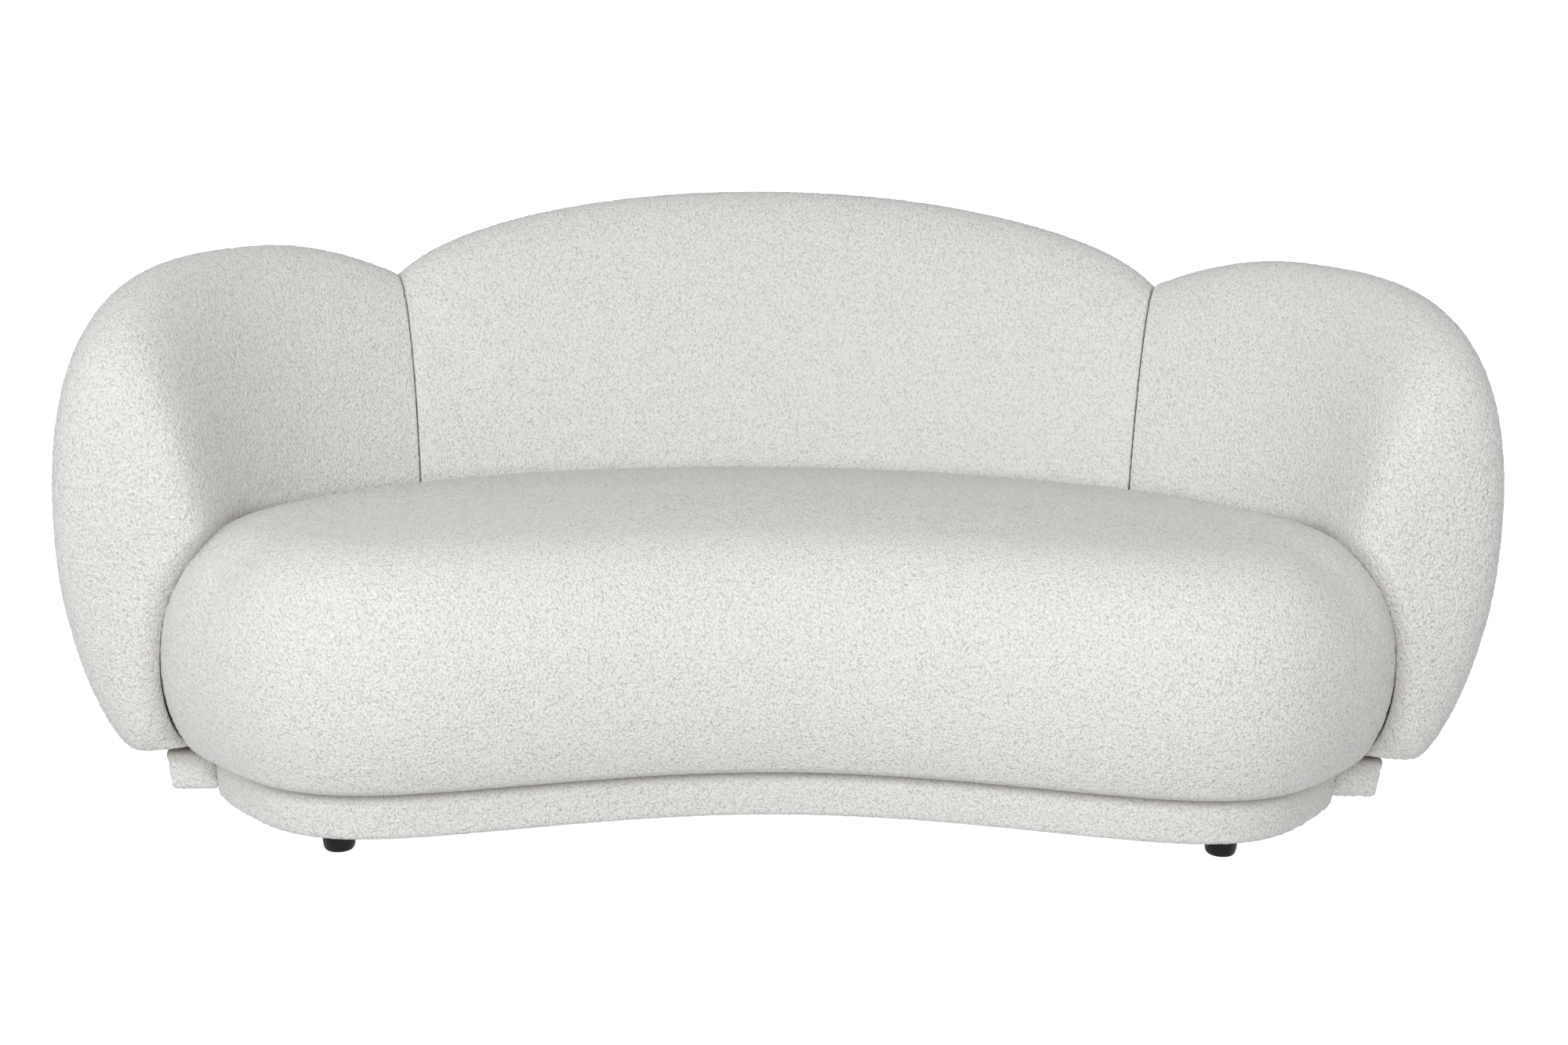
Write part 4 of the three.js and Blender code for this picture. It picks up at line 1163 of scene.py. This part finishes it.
def makeBackPlinth():
    # A rounded band carried along the back's middle line. The seat's plinth pushes its inner side out, and
    # the points between the inner and the outer side move in proportion.
    bottom, top = plinth["bottom"], plinth["backTop"]
    outer, inner = -plinth["backInset"], -plinth["backDepth"]
    middle = ((inner + outer) / 2, top)
    low = outer - plinth["backLean"]
    corners = [middle, (inner, top), (inner, bottom), (low, bottom), (outer, top), middle]
    section = roundedLine(corners, plinth["edge"], mesh["arcPoints"])
    outs, heights = (values[:-1] for values in evenLine(mesh["step"], *section.T))
    reach = back["centerRun"] + plinth["backReachShare"] * back["wingRun"]
    fineRuns = np.linspace(-reach, reach, mesh["longSamples"])
    closer = np.clip(plinth["edge"] - (reach - np.abs(fineRuns)), 0, plinth["edge"])
    drawn = plinth["edge"] - np.sqrt(plinth["edge"] ** 2 - closer ** 2)
    runs, inset = evenLine(mesh["step"], fineRuns, drawn)
    wide, high = np.ptp(outs), np.ptp(heights) / 2
    out = inner + (outs - inner) * (1 - inset[:, None] / wide)
    height = heights.mean() + (heights - heights.mean()) * (1 - inset[:, None] / high)
    across = np.broadcast_to(runs[:, None], out.shape)
    innerSide = np.stack([*backPlace(across, np.full_like(out, inner)), height], axis=-1).reshape(-1, 3)
    ways = backWays(across.ravel())
    give = (outer - out.ravel()) / (outer - inner)
    rows = np.stack([*backPlace(across, out), height], axis=-1)
    rows[..., :2] += (ways * (plinthPush(innerSide, ways) * give)[:, None]).reshape(*out.shape, 2)
    makePlinth("back_plinth", rows, top, np.clip((1 - give) / plinth["bareShare"], 0, 1))


makeSeatPlinth()
makeBackPlinth()

# Dust cover: thin black cloth stapled over the hollow under the seat

dustCover = {
    "node": "seat_dust_cover",
    "inset": 0.0503,        # from the plinth's wall
    "thickness": 0.0008,
    "sag": 0.0014,
    "gathers": 84,          # small folds that run in from the staples
    "gatherHeight": 0.0003,
    "gatherPower": 4,
    "gatherScale": 12,
    "rings": 34,
    "columns": 420,
    "flat": (1.572, 0.571),
    "area": 0.66,
}
dustCover["halfLength"] = plinth["halfLength"] - dustCover["inset"]
dustCover["halfDepth"] = plinth["halfDepth"] - dustCover["inset"]


def makeDustCover():
    # Rings from the middle to the edge: height = top - sag (1 - share^2) + gathers that grow towards the
    # edge and end at it, by share^power (1 - share). A second layer lies one thickness lower and goes on
    # from the edge to the middle.
    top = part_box(dustCover["node"])[1].z
    columns, rings = dustCover["columns"], dustCover["rings"]
    turns = evenTurns(columns, dustCover)[:-1]
    shares = np.linspace(0, 1, rings + 1)[1:, None]
    x, y = kidneyOutline(turns, dustCover["halfLength"] * shares, dustCover["halfDepth"] * shares)
    place = np.arange(columns) / columns * 2 * math.pi
    growth = dustCover["gatherScale"] * shares ** dustCover["gatherPower"] * (1 - shares)
    gathers = dustCover["gatherHeight"] * growth * (np.cos(dustCover["gathers"] * place) - 1)
    upper = top - dustCover["sag"] * (1 - shares ** 2) + gathers
    lower = upper - dustCover["thickness"]
    layers = [np.stack([x, y, upper], axis=-1), np.stack([x, y, lower], axis=-1)[::-1]]
    piece = newObject("dust_cover_cloth", *closedTube(np.concatenate(layers)))
    dress(piece, "dust_cloth", [dustCover["node"]])
    stage("dust cover")


makeDustCover()

# Feet

foot = {
    "topRadius": 0.025,
    "bottomRadius": 0.022,
    "rounding": 0.010,
    "arcPoints": 6,
    "height": 0.0297,
    "studRadius": 0.004,
    "grooveDrop": 0.006,
    "grooveDepth": 0.0008,
    "hollowRadius": 0.014,
    "hollowSlope": 0.001,
    "hollowDepth": 0.0015,
    "poleRadius": 0.0005,   # radius of the first and the last row, which the poles close
    "sides": 72,
}


def footProfile(studTop):
    # Radius and height from the underside's middle, out round the edge, over the top and up the stud
    slope = (foot["topRadius"] - foot["bottomRadius"]) / foot["height"]
    groove = foot["height"] - foot["grooveDrop"]
    grooveRadius = foot["bottomRadius"] + slope * groove
    deep = foot["grooveDepth"]
    corners = [
        (foot["poleRadius"], foot["hollowDepth"]),
        (foot["hollowRadius"], foot["hollowDepth"]),
        (foot["hollowRadius"] + foot["hollowSlope"], 0.0),
        (foot["bottomRadius"], 0.0),
        (grooveRadius - slope * 2 * deep, groove - 2 * deep),
        (grooveRadius - deep, groove - deep),
        (grooveRadius - deep, groove),
        (grooveRadius + slope * deep, groove + deep),
        (foot["topRadius"], foot["height"]),
        (foot["studRadius"], foot["height"]),
        (foot["studRadius"], studTop),
        (foot["poleRadius"], studTop),
    ]
    return roundedLine(corners, foot["rounding"], foot["arcPoints"])


def makeFoot(node):
    # The profile turned round the node's upright middle
    low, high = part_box(node)
    centre = (low + high) / 2
    radius, height = footProfile(high.z).T[:, :, None]
    turns = np.arange(foot["sides"]) * 2 * math.pi / foot["sides"]
    x, y = centre.x + radius * np.cos(turns), centre.y + radius * np.sin(turns)
    rows = np.stack([x, y, np.broadcast_to(height, x.shape)], axis=-1)
    dress(newObject(f"{node}_moulding", *closedTube(rows)), "foot_plastic", [node])


for node in sorted(frame["nodes"]):
    if node.endswith("_foot"):
        makeFoot(node)
stage("feet")

# Carried-over nodes: each gets the material of its slot in the record

for row in frame["record"]["subparts"]:
    node = frame["nodes"][row["node"]]
    if node.hide_render:
        continue
    node.data.materials.clear()
    node.data.materials.append(materials[row["material_slot"]])
stage("inner pieces dressed")

# Floor and light

studio = {
    "floorHalf": 80.0,
    "floor": {
        "Roughness": 0.9,
        "Base Color": (0.80, 0.80, 0.80, 1),
        "Emission Color": (1, 1, 1, 1),
        "Emission Strength": 0.90,
    },
    "backdrop": 1.04,       # the white that the camera sees behind the sofa
    "frontBelow": 0.27,     # light from the room in front of the sofa and behind it
    "frontAbove": 0.03,
    "backBelow": 1.50,
    "backAbove": 0.78,
    "turn": 0.6,            # how far to each side the one eases into the other
    "rise": 0.045,
}
lamps = {
    "front": {"place": (0.0, -4.2, 2.0), "size": 2.5, "power": 148.0},
    "left": {"place": (-2.8, -3.2, 2.2), "size": 2.5, "power": 51.0},
}
lampAim = (0, 0, 0.45)


def makeFloor():
    # The floor is white to the eye, and what it throws back at the sofa comes from the sky's lower half
    half = studio["floorHalf"]
    corners = np.array([(-half, -half, 0), (half, -half, 0), (half, half, 0), (-half, half, 0)])
    floor = newObject("floor", corners, [(0, 1, 2, 3)])
    floor.data.materials.append(newMaterial("floor", studio["floor"])[0])
    floor.visible_diffuse = False


def makeSky():
    # A room that is brighter behind the sofa than in front and brighter below than above, with a white
    # backdrop all round
    world = bpy.data.worlds.new("studio")
    world.use_nodes = True
    tree = world.node_tree
    direction = addNode(tree, "ShaderNodeTexCoord").outputs["Generated"]
    parts = addNode(tree, "ShaderNodeSeparateXYZ", {0: direction})
    behind = ramp(tree, parts.outputs["Y"], -studio["turn"], studio["turn"])
    above = ramp(tree, parts.outputs["Z"], -studio["rise"], studio["rise"])

    def between(share, low, high):
        made = addNode(tree, "ShaderNodeMapRange", {"Value": share, "To Min": low, "To Max": high})
        return made.outputs["Result"]

    below = between(behind, studio["frontBelow"], studio["backBelow"])
    over = between(behind, studio["frontAbove"], studio["backAbove"])
    seen = addNode(tree, "ShaderNodeLightPath").outputs["Is Camera Ray"]
    strength = between(seen, between(above, below, over), studio["backdrop"])
    background = tree.nodes["Background"]
    background.inputs["Color"].default_value = (1, 1, 1, 1)
    tree.links.new(strength, background.inputs["Strength"])
    bpy.context.scene.world = world


def makeLamp(name, place, size, power):
    light = bpy.data.lights.new(name, "AREA")
    light.energy = power
    light.size = size
    addAimed(name, light, place, lampAim)


makeFloor()
makeSky()
for name, row in lamps.items():
    makeLamp(name, **row)
bpy.context.scene.view_settings.view_transform = "Standard"

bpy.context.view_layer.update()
stage("sizes written")
